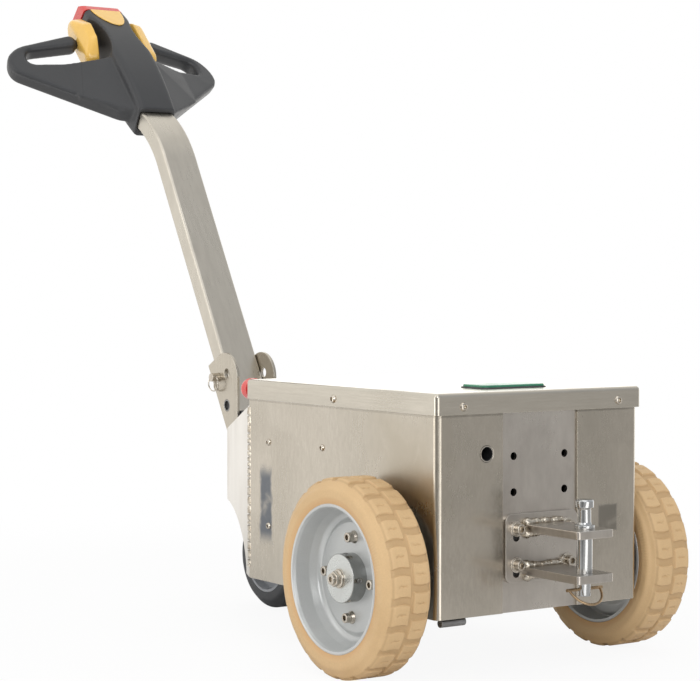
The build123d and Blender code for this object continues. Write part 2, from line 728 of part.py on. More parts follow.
def tyre(side):
    """Solid tyre with rounded shoulders and two rows of tread blocks."""
    seat = rim_radius + BEAD_GAP
    crown = TYRE_DIA / 2
    wall = seat + SIDEWALL_RISE
    profile = [
        (seat, tyre_inner_y + RIM_LIP_INSET, 0),
        (wall, tyre_inner_y, SIDEWALL_ROUND),
        (crown - TYRE_SHOULDER, tyre_inner_y, TYRE_SHOULDER_ROUND),
        (crown, tyre_inner_y + TYRE_SHOULDER, TYRE_SHOULDER_ROUND),
        (crown, tyre_outer_y - TYRE_SHOULDER, TYRE_SHOULDER_ROUND),
        (crown - TYRE_SHOULDER, tyre_outer_y, TYRE_SHOULDER_ROUND),
        (wall, tyre_outer_y, SIDEWALL_ROUND),
        (seat, lip_y, 0),
    ]
    return revolve_about_y(profile, axle_x, axle_z, side) - tread_grooves(side)


def rim(side):
    """Pressed rim: rolled lip, dished bowl and flat disc."""
    flat = rim_radius - DISH_WIDTH
    bore = SHAFT_DIA / 2 + SEAT_GAP
    barrel = rim_radius - RIM_WALL
    back_y = disc_y - DISC_THICK
    inner_lip_y = tyre_inner_y + RIM_LIP_INSET
    profile = [
        (rim_radius, inner_lip_y, 0),
        (rim_radius, lip_y, 0),
        (barrel, lip_y, 0),
        (rim_radius - DISH_BEND_INSET, lip_y - DISH_BEND_DEPTH, DISH_ROUND),
        (flat, disc_y, DISC_ROUND),
        (bore, disc_y, 0),
        (bore, back_y, 0),
        (flat, back_y, DISC_ROUND),
        (barrel, back_y + RIM_WALL, 0),
        (barrel, inner_lip_y, 0),
    ]
    return revolve_about_y(profile, axle_x, axle_z, side)


def drive_hub(side):
    """Hub on the disc with its washer and nut."""
    face = disc_y + HUB_LENGTH
    washer = face + HUB_WASHER_THICK
    bore = STUD_DIA / 2 + SEAT_GAP
    profile = [
        (bore, disc_y, 0),
        (HUB_DIA / 2, disc_y, 0),
        (HUB_DIA / 2, face, HUB_EDGE),
        (HUB_WASHER_DIA / 2, face, 0),
        (HUB_WASHER_DIA / 2, washer, 0),
        (bore, washer, 0),
    ]
    hub = revolve_about_y(profile, axle_x, axle_z, 1)
    plane = Plane(origin=(axle_x, washer, axle_z), x_dir=(1, 0, 0), z_dir=(0, 1, 0))
    ring = RegularPolygon(HUB_NUT_FLATS / 2, 6, major_radius=False) - Circle(bore)
    hub += extrude(plane * ring, HUB_NUT_LENGTH)
    return hub if side > 0 else mirror(hub, Plane.XZ)


def half_shaft(side):
    """Shaft from the drive unit through the rim's disc, with the stud that takes the nut."""
    root = GEARBOX_SIZE_Y / 2
    stud_end = disc_y + HUB_LENGTH + STUD_LENGTH
    profile = [
        (0, root, 0),
        (SHAFT_DIA / 2, root, 0),
        (SHAFT_DIA / 2, disc_y, 0),
        (STUD_DIA / 2, disc_y, 0),
        (STUD_DIA / 2, stud_end, 0),
        (0, stud_end, 0),
    ]
    return revolve_about_y(profile, axle_x, axle_z, side)


def drive_unit():
    """Gearbox block with the two axle tubes."""
    low = body_bottom + SHEET
    half = GEARBOX_SIZE_Y / 2
    x_span = (axle_x - GEARBOX_SIZE_X / 2, axle_x + GEARBOX_SIZE_X / 2)
    box = block(x_span, (-half, half), (low, low + GEARBOX_HEIGHT))
    end = half_width + AXLE_TUBE_PROUD
    tube = rod_y(AXLE_TUBE_DIA, -end, end, axle_x, axle_z)
    bore = rod_y(SHAFT_DIA + 2 * RUNNING_GAP, -2 * end, 2 * end, axle_x, axle_z)
    core = rod_y(AXLE_TUBE_DIA, -half, half, axle_x, axle_z)
    return box + tube - (bore - core)


def battery():
    """Battery pack on the floor, between the bulkhead and the gearbox."""
    low = body_bottom + SHEET
    rear_x = -BODY_LENGTH + SHEET + BATTERY_TO_BULKHEAD
    front_x = axle_x - GEARBOX_SIZE_X / 2 - BATTERY_TO_GEARBOX
    half = half_width - SHEET - BATTERY_TO_PANEL
    return block((rear_x, front_x), (-half, half), (low, low + BATTERY_HEIGHT))


def castor_plate():
    """Castor's top plate with its kingpin."""
    low = CASTOR_TOP_Z - CASTOR_PLATE_THICK
    shape = RectangleRounded(CASTOR_PLATE_X, CASTOR_PLATE_Y, CASTOR_PLATE_CORNER)
    plate = extrude(Pos(castor_axis_x, 0, low) * shape, CASTOR_PLATE_THICK)
    head_top = FORK_CROWN_Z - RACE_GAP
    pin = rod_z(KINGPIN_DIA, head_top - KINGPIN_HEAD, low, castor_axis_x, 0)
    return plate + pin + rod_z(KINGPIN_HEAD_DIA, head_top - KINGPIN_HEAD, head_top, castor_axis_x, 0)


def castor_fork():
    """Fork with its crown, race and two tapering arms."""
    arm_in = CASTOR_HUB_LENGTH / 2 + FORK_GAP
    arm_out = arm_in + FORK_SHEET
    crown_top = FORK_CROWN_Z + FORK_CROWN_THICK
    half = FORK_CROWN_SIZE / 2
    eye = FORK_EYE_DIA / 2
    side_view = Polygon(
        (castor_axle_x - eye, castor_axle_z),
        (castor_axle_x + eye, castor_axle_z),
        (castor_axis_x + half, crown_top),
        (castor_axis_x - half, crown_top),
        align=None,
    )
    side_view += Pos(castor_axle_x, castor_axle_z) * Circle(eye)
    arm = extrude(Plane.XZ * side_view, FORK_SHEET)
    fork = Pos(0, arm_out, 0) * arm + Pos(0, -arm_in, 0) * arm
    crown_x = (castor_axis_x - half, castor_axis_x + half)
    fork += block(crown_x, (-arm_out, arm_out), (FORK_CROWN_Z, crown_top))
    race_top = CASTOR_TOP_Z - CASTOR_PLATE_THICK - RACE_GAP
    fork += rod_z(RACE_DIA, crown_top, race_top, castor_axis_x, 0)
    fork -= rod_z(KINGPIN_DIA + 2 * RUNNING_GAP, 0, CASTOR_TOP_Z, castor_axis_x, 0)
    return fork - rod_y(CASTOR_AXLE_DIA + 2 * RUNNING_GAP, -2 * arm_out, 2 * arm_out, castor_axle_x, castor_axle_z)


def castor_axle():
    """Axle bolt of the castor wheel."""
    reach = CASTOR_HUB_LENGTH / 2 + FORK_GAP + FORK_SHEET
    end = reach + CASTOR_NUT_LENGTH / 2
    bolt = rod_y(CASTOR_AXLE_DIA, -end, end, castor_axle_x, castor_axle_z)
    for side in SIDES.values():
        origin = (castor_axle_x, side * reach, castor_axle_z)
        plane = Plane(origin=origin, x_dir=(1, 0, 0), z_dir=(0, side, 0))
        bolt += extrude(plane * RegularPolygon(CASTOR_NUT_FLATS / 2, 6, major_radius=False), CASTOR_NUT_LENGTH)
    return bolt


def castor_rim():
    """Castor wheel's centre: hub, web and rim."""
    hub = CASTOR_HUB_LENGTH / 2
    half = CASTOR_WIDTH / 2
    seat = CASTOR_RIM_DIA / 2
    bore = CASTOR_AXLE_DIA / 2 + RUNNING_GAP
    hub_r = CASTOR_HUB_DIA / 2
    web = CASTOR_WEB / 2
    lip = seat - CASTOR_RIM_LIP
    one_side = [(bore, hub, 0), (hub_r, hub, 0), (hub_r, web, 0), (lip, web, 0), (lip, half, 0), (seat, half, 0)]
    other_side = [(radius, -distance, 0) for radius, distance, _ in reversed(one_side)]
    return revolve_about_y(one_side + other_side, castor_axle_x, castor_axle_z, 1)


def castor_tyre():
    """Castor tyre with rounded shoulders."""
    seat = CASTOR_RIM_DIA / 2 + BEAD_GAP
    half = CASTOR_WIDTH / 2
    crown = CASTOR_DIA / 2
    one_side = [
        (seat, half, 0),
        (crown - CASTOR_SHOULDER, half, CASTOR_SHOULDER_ROUND),
        (crown, half - CASTOR_SHOULDER, CASTOR_SHOULDER_ROUND),
    ]
    other_side = [(radius, -distance, corner) for radius, distance, corner in reversed(one_side)]
    return revolve_about_y(one_side + other_side, castor_axle_x, castor_axle_z, 1)


def hitch_base():
    """Slotted base plate of the hitch."""
    plane = Plane(origin=(plate_face_x, 0, BASE_MID_Z), x_dir=(0, 1, 0), z_dir=(1, 0, 0))
    shape = RectangleRounded(BASE_WIDTH, BASE_HEIGHT, BASE_CORNER)
    for y, z in hole_places(range(2)):
        slot = SlotOverall(SLOT_LENGTH, BOLT_DIA + 2 * SEAT_GAP, rotation=90)
        shape -= Pos(y, z - SLOT_DROP - BASE_MID_Z) * slot
    return extrude(plane * shape, BASE_THICK)


def clevis_plate(z_low):
    """Tapered clevis plate with the bore for the tow pin."""
    root = CLEVIS_ROOT_WIDTH / 2
    end = CLEVIS_END_WIDTH / 2
    corners = [(base_face_x, -root), (CLEVIS_REACH, -end), (CLEVIS_REACH, end), (base_face_x, root)]
    outline = Polygon(*corners, align=None)
    outline = fillet(outline.vertices().sort_by(Axis.X)[-2:], CLEVIS_CORNER)
    outline -= Pos(TOW_PIN_X, 0) * Circle(TOW_PIN_DIA / 2 + SEAT_GAP)
    return extrude(Pos(0, 0, z_low) * outline, CLEVIS_PLATE)


def tow_pin():
    """Tow pin with head, neck, collar, shank and cross-drilled tail."""
    neck_z = collar_z + TOW_PIN_COLLAR
    head_z = neck_z + TOW_PIN_NECK
    pin = rod_z(TOW_PIN_DIA, tail_top_z, collar_z, TOW_PIN_X, 0)
    pin += rod_z(TOW_PIN_COLLAR_DIA, collar_z, neck_z, TOW_PIN_X, 0)
    pin += rod_z(TOW_PIN_NECK_DIA, neck_z, head_z, TOW_PIN_X, 0)
    pin += rod_z(TOW_PIN_HEAD_DIA, head_z, head_z + TOW_PIN_HEAD, TOW_PIN_X, 0)
    pin += rod_z(TOW_PIN_NECK_DIA, tail_top_z - TOW_PIN_TAIL, tail_top_z, TOW_PIN_X, 0)
    return pin - rod_y(CLIP_PIN_DIA + 2 * SEAT_GAP, -TOW_PIN_DIA, TOW_PIN_DIA, TOW_PIN_X, clip_z)


def pin_clip():
    """Bow clip: a straight pin through the tail and a wire bow that hangs in front of it."""
    reach = CLIP_BOW_RADIUS + CLIP_TIP
    straight = rod_y(CLIP_PIN_DIA, -reach, reach, TOW_PIN_X, clip_z)
    plane = Plane(origin=(TOW_PIN_X, 0, clip_z), x_dir=(0, 1, 0), z_dir=(-1, 0, -1))
    path = plane * CenterArc((0, 0), CLIP_BOW_RADIUS, 0, 180)
    bow = sweep(Plane(origin=path @ 0, z_dir=path % 0) * Circle(CLIP_WIRE_DIA / 2), path=path)
    return straight + bow


def hitch_bolts():
    """Four bolts with washers that hold the base plate to the hitch plate."""
    bolts = []
    back = plate_face_x - HITCH_PLATE_THICK
    washer = base_face_x + BOLT_WASHER
    for y, z in hole_places(range(2)):
        bolt = rod_x(BOLT_DIA - 2 * SEAT_GAP, back, washer, y, z)
        bolt += rod_x(BOLT_WASHER_DIA, base_face_x, washer, y, z)
        bolt += rod_x(BOLT_HEAD_DIA, washer, washer + BOLT_HEAD, y, z)
        bolts.append(bolt)
    return Compound(bolts)


def build_pieces():
    """All pieces by node name, in the drawing's frame."""
    pieces = {
        "hitch_plate": hitch_plate(),
        "bulkhead": bulkhead(),
        "floor_plate": floor_plate(),
        "belly_hinge": belly_hinge(),
        "lid": lid(),
        "indicator_gasket": lid_panel(GASKET_MARGIN, LID_TOP, GASKET_RISE),
        "indicator_panel": lid_panel(0, LID_TOP + GASKET_RISE, PANEL_RISE),
        "charge_socket": charge_socket(),
        "emergency_stop": emergency_stop(),
        "battery": battery(),
        "drive_unit": drive_unit(),
        "nose_cover": nose_cover(),
        "nose_end_plate": nose_end_plate(),
        "castor_mount_plate": castor_mount_plate(),
        "foot_buffer": foot_buffer(),
        "tiller_pivot": tiller_pivot(),
        "lock_pin": lock_pin(),
        "castor_plate": castor_plate(),
        "castor_fork": castor_fork(),
        "castor_axle": castor_axle(),
        "castor_rim": castor_rim(),
        "castor_tyre": castor_tyre(),
        "hitch_base": hitch_base(),
        "hitch_upper_plate": clevis_plate(upper_plate_z),
        "hitch_lower_plate": clevis_plate(lower_plate_z),
        "hitch_bolts": hitch_bolts(),
        "tow_pin": tow_pin(),
        "pin_clip": pin_clip(),
        "tiller_arm": tiller_arm(),
        "head_core": head_core(),
        "red_cap": red_cap(),
        "top_button": top_button(),
    }
    for name, side in SIDES.items():
        pieces[f"side_panel_{name}"] = side_panel(side)
        pieces[f"nose_side_{name}"] = nose_side(side)
        pieces[f"tiller_ear_{name}"] = tiller_ear(side)
        pieces[f"hand_loop_{name}"] = hand_loop(side)
        pieces[f"thumb_paddle_{name}"] = thumb_paddle(side)
        pieces[f"tyre_{name}"] = tyre(side)
        pieces[f"rim_{name}"] = rim(side)
        pieces[f"drive_hub_{name}"] = drive_hub(side)
        pieces[f"half_shaft_{name}"] = half_shaft(side)
    return pieces


def main():
    """Move the pieces so that the origin is the middle of the footprint, and write them."""
    pieces = build_pieces()
    box = Compound(list(pieces.values())).bounding_box()
    shift = Pos(-(box.min.X + box.max.X) / 2, -(box.min.Y + box.max.Y) / 2, -box.min.Z)
    print("shift", shift.position, "size", box.size)
    os.makedirs("parts", exist_ok=True)
    for name, piece in pieces.items():
        export_step(shift * piece, f"parts/{name}.step")


if __name__ == "__main__":
    main()
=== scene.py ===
"""Visual model of a small stainless tow tractor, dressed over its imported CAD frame."""
import json
import logging
import math
from dataclasses import dataclass
from enum import Enum
from typing import Callable, Iterable, Sequence

import bmesh
import bpy
from mathutils import Matrix, Vector, noise


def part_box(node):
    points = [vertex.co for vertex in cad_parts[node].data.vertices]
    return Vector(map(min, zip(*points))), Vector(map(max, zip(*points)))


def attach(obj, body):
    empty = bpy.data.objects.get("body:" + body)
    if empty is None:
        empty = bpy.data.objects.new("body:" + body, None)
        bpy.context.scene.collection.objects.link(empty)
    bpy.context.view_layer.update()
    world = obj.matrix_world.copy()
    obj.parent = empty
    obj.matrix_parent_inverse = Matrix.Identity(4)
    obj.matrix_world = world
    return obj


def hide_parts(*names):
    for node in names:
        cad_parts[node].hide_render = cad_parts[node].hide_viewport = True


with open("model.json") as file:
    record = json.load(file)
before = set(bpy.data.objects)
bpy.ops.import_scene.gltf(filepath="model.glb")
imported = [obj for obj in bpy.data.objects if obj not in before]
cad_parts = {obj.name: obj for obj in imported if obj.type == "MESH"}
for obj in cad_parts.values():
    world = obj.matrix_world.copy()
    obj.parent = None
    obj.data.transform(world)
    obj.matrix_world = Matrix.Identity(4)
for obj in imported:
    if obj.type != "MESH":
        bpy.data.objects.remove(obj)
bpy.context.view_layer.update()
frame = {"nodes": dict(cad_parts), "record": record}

logging.basicConfig(level=logging.INFO, format="%(message)s")
LOG = logging.getLogger("tow_tractor")
MM = 0.001
DATUM_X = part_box("side_panel_left")[1].x
SLOT_OF = {row["node"]: row["material_slot"] for row in frame["record"]["subparts"]}
# Direction that most of the light comes from
LIGHT_WAY = (-0.95, -0.22, 0.2)
FITTING_SLOT = "zinc_steel"
Colour = tuple[float, float, float]
Row = tuple[float, float, float]
Socket = bpy.types.NodeSocket


class Body(Enum):
    """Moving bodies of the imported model."""

    CHASSIS = "chassis"
    WHEEL_LEFT = "drive_wheel_left"
    WHEEL_RIGHT = "drive_wheel_right"
    CASTOR_FORK = "castor_swivel_fork"
    CASTOR_WHEEL = "castor_wheel"
    TILLER = "tiller"


class Side(Enum):
    """The two sides of the machine, with the sign of Y."""

    LEFT = -1
    RIGHT = 1


def at(x: float, y: float, z: float) -> Vector:
    """Point in metres from millimetres measured from the hitch flanges and the floor."""
    return Vector((x * MM + DATUM_X, y * MM, z * MM))


def smoothstep(low: float, high: float, value: float) -> float:
    """Soft step from 0 to 1 between two limits."""
    t = min(1.0, max(0.0, (value - low) / (high - low)))
    return t * t * (3 - 2 * t)


class Graph:
    """Short way to fill a node tree."""

    def __init__(self, tree: bpy.types.NodeTree) -> None:
        self.tree = tree

    def node(self, kind: str, inputs: dict | None = None, **settings: object) -> bpy.types.Node:
        """Add a node.

        Args:
            kind: Node type without the ShaderNode prefix.
            inputs: Values or sockets by input name or index.
            settings: Attributes of the node.

        Returns:
            The new node.
        """
        made = self.tree.nodes.new("ShaderNode" + kind)
        for key, value in settings.items():
            setattr(made, key, value)
        for key, value in (inputs or {}).items():
            if isinstance(value, Socket):
                self.tree.links.new(value, made.inputs[key])
            else:
                made.inputs[key].default_value = value
        return made

    def group(self, name: str, inputs: dict) -> Socket:
        """Add a shared group by name; returns its result."""
        return self.node("Group", inputs, node_tree=bpy.data.node_groups[name]).outputs[0]

    def math(self, operation: str, *values: object) -> Socket:
        """Math node on up to three values; returns its result."""
        return self.node("Math", dict(enumerate(values)), operation=operation).outputs[0]

    def vector(self, operation: str, *values: object, out: int = 0) -> Socket:
        """Vector math node; returns the asked output."""
        return self.node("VectorMath", dict(enumerate(values)), operation=operation).outputs[out]

    def remap(
        self, value: object, low: object, high: object, to_low: float = 0.0, to_high: float = 1.0
    ) -> Socket:
        """Smooth map from one span of values to another.

        Args:
            value: Value to map.
            low: Value that gives to_low.
            high: Value that gives to_high.
            to_low: Result at the low end.
            to_high: Result at the high end.

        Returns:
            The mapped value.
        """
        names = {"Value": value, "From Min": low, "From Max": high, "To Min": to_low, "To Max": to_high}
        return self.node("MapRange", names, interpolation_type="SMOOTHSTEP").outputs[0]

    def mix(self, factor: object, first: object, second: object) -> Socket:
        """Mix two colours."""
        return self.node("Mix", {0: factor, 6: first, 7: second}, data_type="RGBA").outputs[2]

    def multiply(self, colour: object, level: object) -> Socket:
        """Multiply a colour by a level."""
        names = {0: 1.0, 6: colour, 7: level}
        return self.node("Mix", names, data_type="RGBA", blend_type="MULTIPLY").outputs[2]


class SharedEffects:
    """Node groups that several finishes use; each gives only values, masks or normals."""

    # Panels and gaps of the room. Columns: heading, half width in degrees, strength
    STRIPS = [
        (-119.0, 13.0, 2.2), (-74.0, 30.0, -0.45), (-2.0, 17.0, 1.9), (90.0, 14.0, 0.8), (140.0, 28.0, 0.7),
    ]
    FLOAT = "NodeSocketFloat"
    VECTOR = "NodeSocketVector"

    def build(self) -> None:
        """Make every group once."""
        self.grain()
        self.blotch()
        self.edge()
        self.scratch()
        self.relief()
        self.box_mark()
        self.line_mark()
        self.room()

    def start(
        self, name: str, inputs: Sequence[tuple[str, str, object]], outputs: Sequence[tuple[str, str]]
    ) -> tuple[Graph, dict, bpy.types.Node]:
        """Open a new group.

        Args:
            name: Name of the group.
            inputs: Name, socket type and default of each input.
            outputs: Name and socket type of each output.

        Returns:
            The graph, the input sockets by name and the output node.
        """
        tree = bpy.data.node_groups.new(name, "ShaderNodeTree")
        for label, kind, default in inputs:
            socket = tree.interface.new_socket(label, in_out="INPUT", socket_type=kind)
            if default is not None:
                socket.default_value = default
        for label, kind in outputs:
            tree.interface.new_socket(label, in_out="OUTPUT", socket_type=kind)
        source = tree.nodes.new("NodeGroupInput")
        target = tree.nodes.new("NodeGroupOutput")
        return Graph(tree), {s.name: s for s in source.outputs}, target

    def grain(self) -> None:
        """Stretched fine noise, as brushing leaves."""
        rows = [
            ("Vector", self.VECTOR, None),
            ("Stretch", self.VECTOR, (1, 1, 1)),
            ("Scale", self.FLOAT, 1.0),
        ]
        g, source, target = self.start("grain", rows, [("Value", self.FLOAT)])
        place = g.vector("MULTIPLY", source["Vector"], source["Stretch"])
        names = {"Vector": place, "Scale": source["Scale"], "Detail": 6.0, "Roughness": 0.65}
        tex = g.node("TexNoise", names)
        g.tree.links.new(tex.outputs[0], target.inputs["Value"])

    def blotch(self) -> None:
        """Broad soft patches."""
        rows = [
            ("Vector", self.VECTOR, None),
            ("Scale", self.FLOAT, 6.0),
            ("Low", self.FLOAT, 0.4),
            ("High", self.FLOAT, 0.7),
        ]
        g, source, target = self.start("blotch", rows, [("Mask", self.FLOAT)])
        names = {"Vector": source["Vector"], "Scale": source["Scale"], "Detail": 4.0, "Distortion": 0.6}
        mask = g.remap(g.node("TexNoise", names).outputs[0], source["Low"], source["High"])
        g.tree.links.new(mask, target.inputs["Mask"])

    def edge(self) -> None:
        """Worn edges, from the difference between the normal and a rounded one."""
        rows = [("Vector", self.VECTOR, None), ("Radius", self.FLOAT, 0.0015), ("Amount", self.FLOAT, 1.0)]
        g, source, target = self.start("edge", rows, [("Mask", self.FLOAT)])
        soft = g.node("Bevel", {"Radius": source["Radius"]}, samples=4)
        flat = g.node("NewGeometry")
        same = g.vector("DOT_PRODUCT", soft.outputs[0], flat.outputs["Normal"], out=1)
        turn = g.remap(g.math("SUBTRACT", 1.0, same), 0.01, 0.12)
        tex = g.node("TexNoise", {"Vector": source["Vector"], "Scale": 90.0, "Detail": 4.0})
        broken = g.math("MULTIPLY", turn, g.remap(tex.outputs[0], 0.35, 0.6))
        g.tree.links.new(g.math("MULTIPLY", broken, source["Amount"]), target.inputs["Mask"])

    def scratch(self) -> None:
        """Sparse thin scratches in mixed directions."""
        rows = [("Vector", self.VECTOR, None), ("Scale", self.FLOAT, 14.0), ("Amount", self.FLOAT, 1.0)]
        g, source, target = self.start("scratch", rows, [("Mask", self.FLOAT)])
        bent = g.node("TexNoise", {"Vector": source["Vector"], "Scale": 3.0, "Detail": 2.0})
        place = g.vector("ADD", source["Vector"], g.vector("MULTIPLY", bent.outputs[1], (0.06, 0.06, 0.06)))
        total = None
        for turn, stretch in (((0.4, 0.2, 0.9), (1.0, 18.0, 14.0)), ((0.9, 0.5, -0.4), (16.0, 1.0, 20.0))):
            turned = g.node("VectorRotate", {"Vector": place, "Rotation": turn}, rotation_type="EULER_XYZ")
            wide = g.vector("MULTIPLY", turned.outputs[0], stretch)
            tex = g.node("TexNoise", {"Vector": wide, "Scale": source["Scale"], "Detail": 1.0})
            line = g.remap(g.math("ABSOLUTE", g.math("SUBTRACT", tex.outputs[0], 0.5)), 0.012, 0.0)
            total = line if total is None else g.math("MAXIMUM", total, line)
        sparse = g.node("TexNoise", {"Vector": source["Vector"], "Scale": 11.0, "Detail": 2.0})
        mask = g.math("MULTIPLY", total, g.remap(sparse.outputs[0], 0.5, 0.68))
        g.tree.links.new(g.math("MULTIPLY", mask, source["Amount"]), target.inputs["Mask"])

    def relief(self) -> None:
        """Surface normal from a height."""
        rows = [("Height", self.FLOAT, 0.0), ("Strength", self.FLOAT, 0.2), ("Depth", self.FLOAT, 0.001)]
        g, source, target = self.start("relief", rows, [("Normal", self.VECTOR)])
        names = {"Height": source["Height"], "Strength": source["Strength"], "Distance": source["Depth"]}
        g.tree.links.new(g.node("Bump", names).outputs[0], target.inputs["Normal"])

    def box_mark(self) -> None:
        """Soft box in object space, for stains and painted shade."""
        rows = [
            ("Vector", self.VECTOR, None),
            ("Middle", self.VECTOR, (0, 0, 0)),
            ("Half", self.VECTOR, (1, 1, 1)),
            ("Soft", self.FLOAT, 0.3),
        ]
        g, source, target = self.start("box_mark", rows, [("Mask", self.FLOAT)])
        away = g.vector("ABSOLUTE", g.vector("SUBTRACT", source["Vector"], source["Middle"]))
        share = g.node("SeparateXYZ", {0: g.vector("DIVIDE", away, source["Half"])})
        most = g.math("MAXIMUM", g.math("MAXIMUM", share.outputs[0], share.outputs[1]), share.outputs[2])
        low = g.math("SUBTRACT", 1.0, source["Soft"])
        g.tree.links.new(g.remap(most, 1.0, low), target.inputs["Mask"])

    def line_mark(self) -> None:
        """Thin line where a plane crosses the surface."""
        rows = [
            ("Vector", self.VECTOR, None),
            ("Point", self.VECTOR, (0, 0, 0)),
            ("Across", self.VECTOR, (1, 0, 0)),
            ("Half", self.FLOAT, 0.0006),
        ]
        g, source, target = self.start("line_mark", rows, [("Mask", self.FLOAT)])
        away = g.vector("SUBTRACT", source["Vector"], source["Point"])
        gap = g.math("ABSOLUTE", g.vector("DOT_PRODUCT", away, source["Across"], out=1))
        g.tree.links.new(g.remap(gap, source["Half"], 0.0), target.inputs["Mask"])

    def room(self) -> None:
        """Level of the light panels that metal sees in a direction."""
        g, source, target = self.start("room", [("Way", self.VECTOR, None)], [("Level", self.FLOAT)])
        way = g.vector("NORMALIZE", source["Way"])
        side = g.vector("DOT_PRODUCT", way, LIGHT_WAY, out=1)
        level = g.remap(side, -0.70, 0.60, 0.53, 1.06)
        for heading, half, strength in self.STRIPS:
            turn = math.radians(heading)
            near = g.vector("DOT_PRODUCT", way, (math.cos(turn), math.sin(turn), 0.0), out=1)
            edge = math.cos(math.radians(half))
            full = math.cos(math.radians(half * 0.6))
            level = g.math("ADD", level, g.remap(near, edge, full, 0.0, strength))
        g.tree.links.new(g.math("MAXIMUM", level, 0.2), target.inputs["Level"])


@dataclass(frozen=True)
class Finish:
    """A procedural material.

    Attributes:
        name: Name of the material.
        colour: Main colour, linear.
        second: Colour of patches, linear.
        roughness: Middle roughness.
        metallic: 1 for metal.
        grain_scale: Fineness of the grain.
        stretch: Stretch of the grain along X, Y and Z.
        relief: Strength of the grain's relief.
        patch_scale: Size of the patches.
        patch_amount: Strength of the patches.
        wear: Colour of worn edges, linear.
        wear_amount: Strength of edge wear.
        scratches: Strength of scratches.
        coat: Weight of a clear coat.
        streaks: Strength of broad bands along the grain.
    """

    name: str
    colour: Colour
    second: Colour
    roughness: float
    metallic: float = 0.0
    grain_scale: float = 300.0
    stretch: Row = (1.0, 1.0, 1.0)
    relief: float = 0.08
    patch_scale: float = 7.0
    patch_amount: float = 0.5
    wear: Colour = (0.8, 0.8, 0.8)
    wear_amount: float = 0.4
    scratches: float = 0.0
    coat: float = 0.0
    streaks: float = 0.0
    BAND_SCALE = 24.0

    def material(self) -> bpy.types.Material:
        """Material of this finish, made at its first use."""
        label = "finish_" + self.name
        known = bpy.data.materials.get(label)
        if known is not None:
            return known
        made = bpy.data.materials.new(label)
        made.use_nodes = True
        made.node_tree.nodes.clear()
        g = Graph(made.node_tree)
        place = g.node("TexCoord").outputs["Object"]
        colour, rough, height = self.layers(g, place)
        names = {
            "Base Color": colour,
            "Roughness": rough,
            "Metallic": self.metallic,
            "Coat Weight": self.coat,
            "Coat Roughness": 0.25,
        }
        relief = g.group("relief", {"Height": height, "Strength": self.relief})
        shader = g.node("BsdfPrincipled", {**names, "Normal": relief})
        target = g.node("OutputMaterial")
        g.tree.links.new(shader.outputs[0], target.inputs[0])
        return made

    def layers(self, g: Graph, place: Socket) -> tuple:
        """Layers of the finish, from coarse patches to worn edges.

        Args:
            g: Graph of the material.
            place: Object coordinates.

        Returns:
            Colour, roughness and height.
        """
        names = {"Vector": place, "Stretch": self.stretch}
        grain = g.group("grain", {**names, "Scale": self.grain_scale})
        patch = g.group("blotch", {"Vector": place, "Scale": self.patch_scale})
        colour = g.mix(g.math("MULTIPLY", patch, self.patch_amount), (*self.colour, 1), (*self.second, 1))
        shade = g.remap(grain, 0.3, 0.7, 0.96, 1.03)
        colour = g.multiply(colour, shade)
        if self.streaks:
            band = g.group("grain", {**names, "Scale": self.BAND_SCALE})
            level = g.remap(band, 0.36, 0.64, 1.0 - self.streaks, 1.0 + self.streaks * 0.6)
            colour = g.multiply(colour, level)
        rough = g.math("ADD", g.remap(grain, 0.3, 0.7, -0.025, 0.025), self.roughness)
        rough = g.math("ADD", rough, g.math("MULTIPLY", patch, 0.08))
        height = grain
        if self.scratches:
            lines = g.group("scratch", {"Vector": place, "Amount": self.scratches})
            colour = g.mix(g.math("MULTIPLY", lines, 0.5), colour, (*self.wear, 1))
            height = g.math("SUBTRACT", height, lines)
        edge = g.group("edge", {"Vector": place, "Amount": self.wear_amount})
        colour = g.mix(edge, colour, (*self.wear, 1))
        return self.marks(g, place, colour, rough, height)

    def marks(self, g: Graph, place: Socket, colour: Socket, rough: Socket, height: Socket) -> tuple:
        """Marks of one piece; none on a plain finish."""
        return colour, rough, height


@dataclass(frozen=True)
class Mark:
    """Soft box mark on a sheet, a stain or painted shade, millimetres in the drawing's frame.

    Attributes:
        middle: Middle of the box.
        half: Half size of the box.
        tint: Colour, linear.
        strength: Strength of the mark.
        soft: Share of the half size over which it fades.
        ragged: How far noise pushes its edges.
    """

    middle: Row
    half: Row
    tint: Colour
    strength: float = 0.8
    soft: float = 0.3
    ragged: float = 0.0


@dataclass(frozen=True)
class MarkedFinish(Finish):
    """Finish with soft box marks: stains and painted shade.

    Attributes:
        boxes: The marks.
    """

    boxes: tuple[Mark, ...] = ()

    def marks(self, g: Graph, place: Socket, colour: Socket, rough: Socket, height: Socket) -> tuple:
        """Add the boxes over the finish."""
        for mark in self.boxes:
            size = tuple(value * MM for value in mark.half)
            wave = g.node("TexNoise", {"Vector": place, "Scale": 55.0, "Detail": 5.0}).outputs[1]
            push = g.vector("SCALE", g.vector("SUBTRACT", wave, (0.5, 0.5, 0.5)))
            push.node.inputs["Scale"].default_value = mark.ragged * MM
            moved = g.vector("ADD", place, push)
            names = {"Vector": moved, "Middle": at(*mark.middle), "Half": size, "Soft": mark.soft}
            mask = g.group("box_mark", names)
            uneven = g.group("blotch", {"Vector": place, "Scale": 30.0, "Low": 0.1, "High": 0.5})
            share = g.math("MULTIPLY", g.math("MULTIPLY", mask, uneven), mark.strength)
            colour = g.mix(share, colour, (*mark.tint, 1))
            rough = g.math("ADD", rough, g.math("MULTIPLY", share, 0.25))
        return colour, rough, height


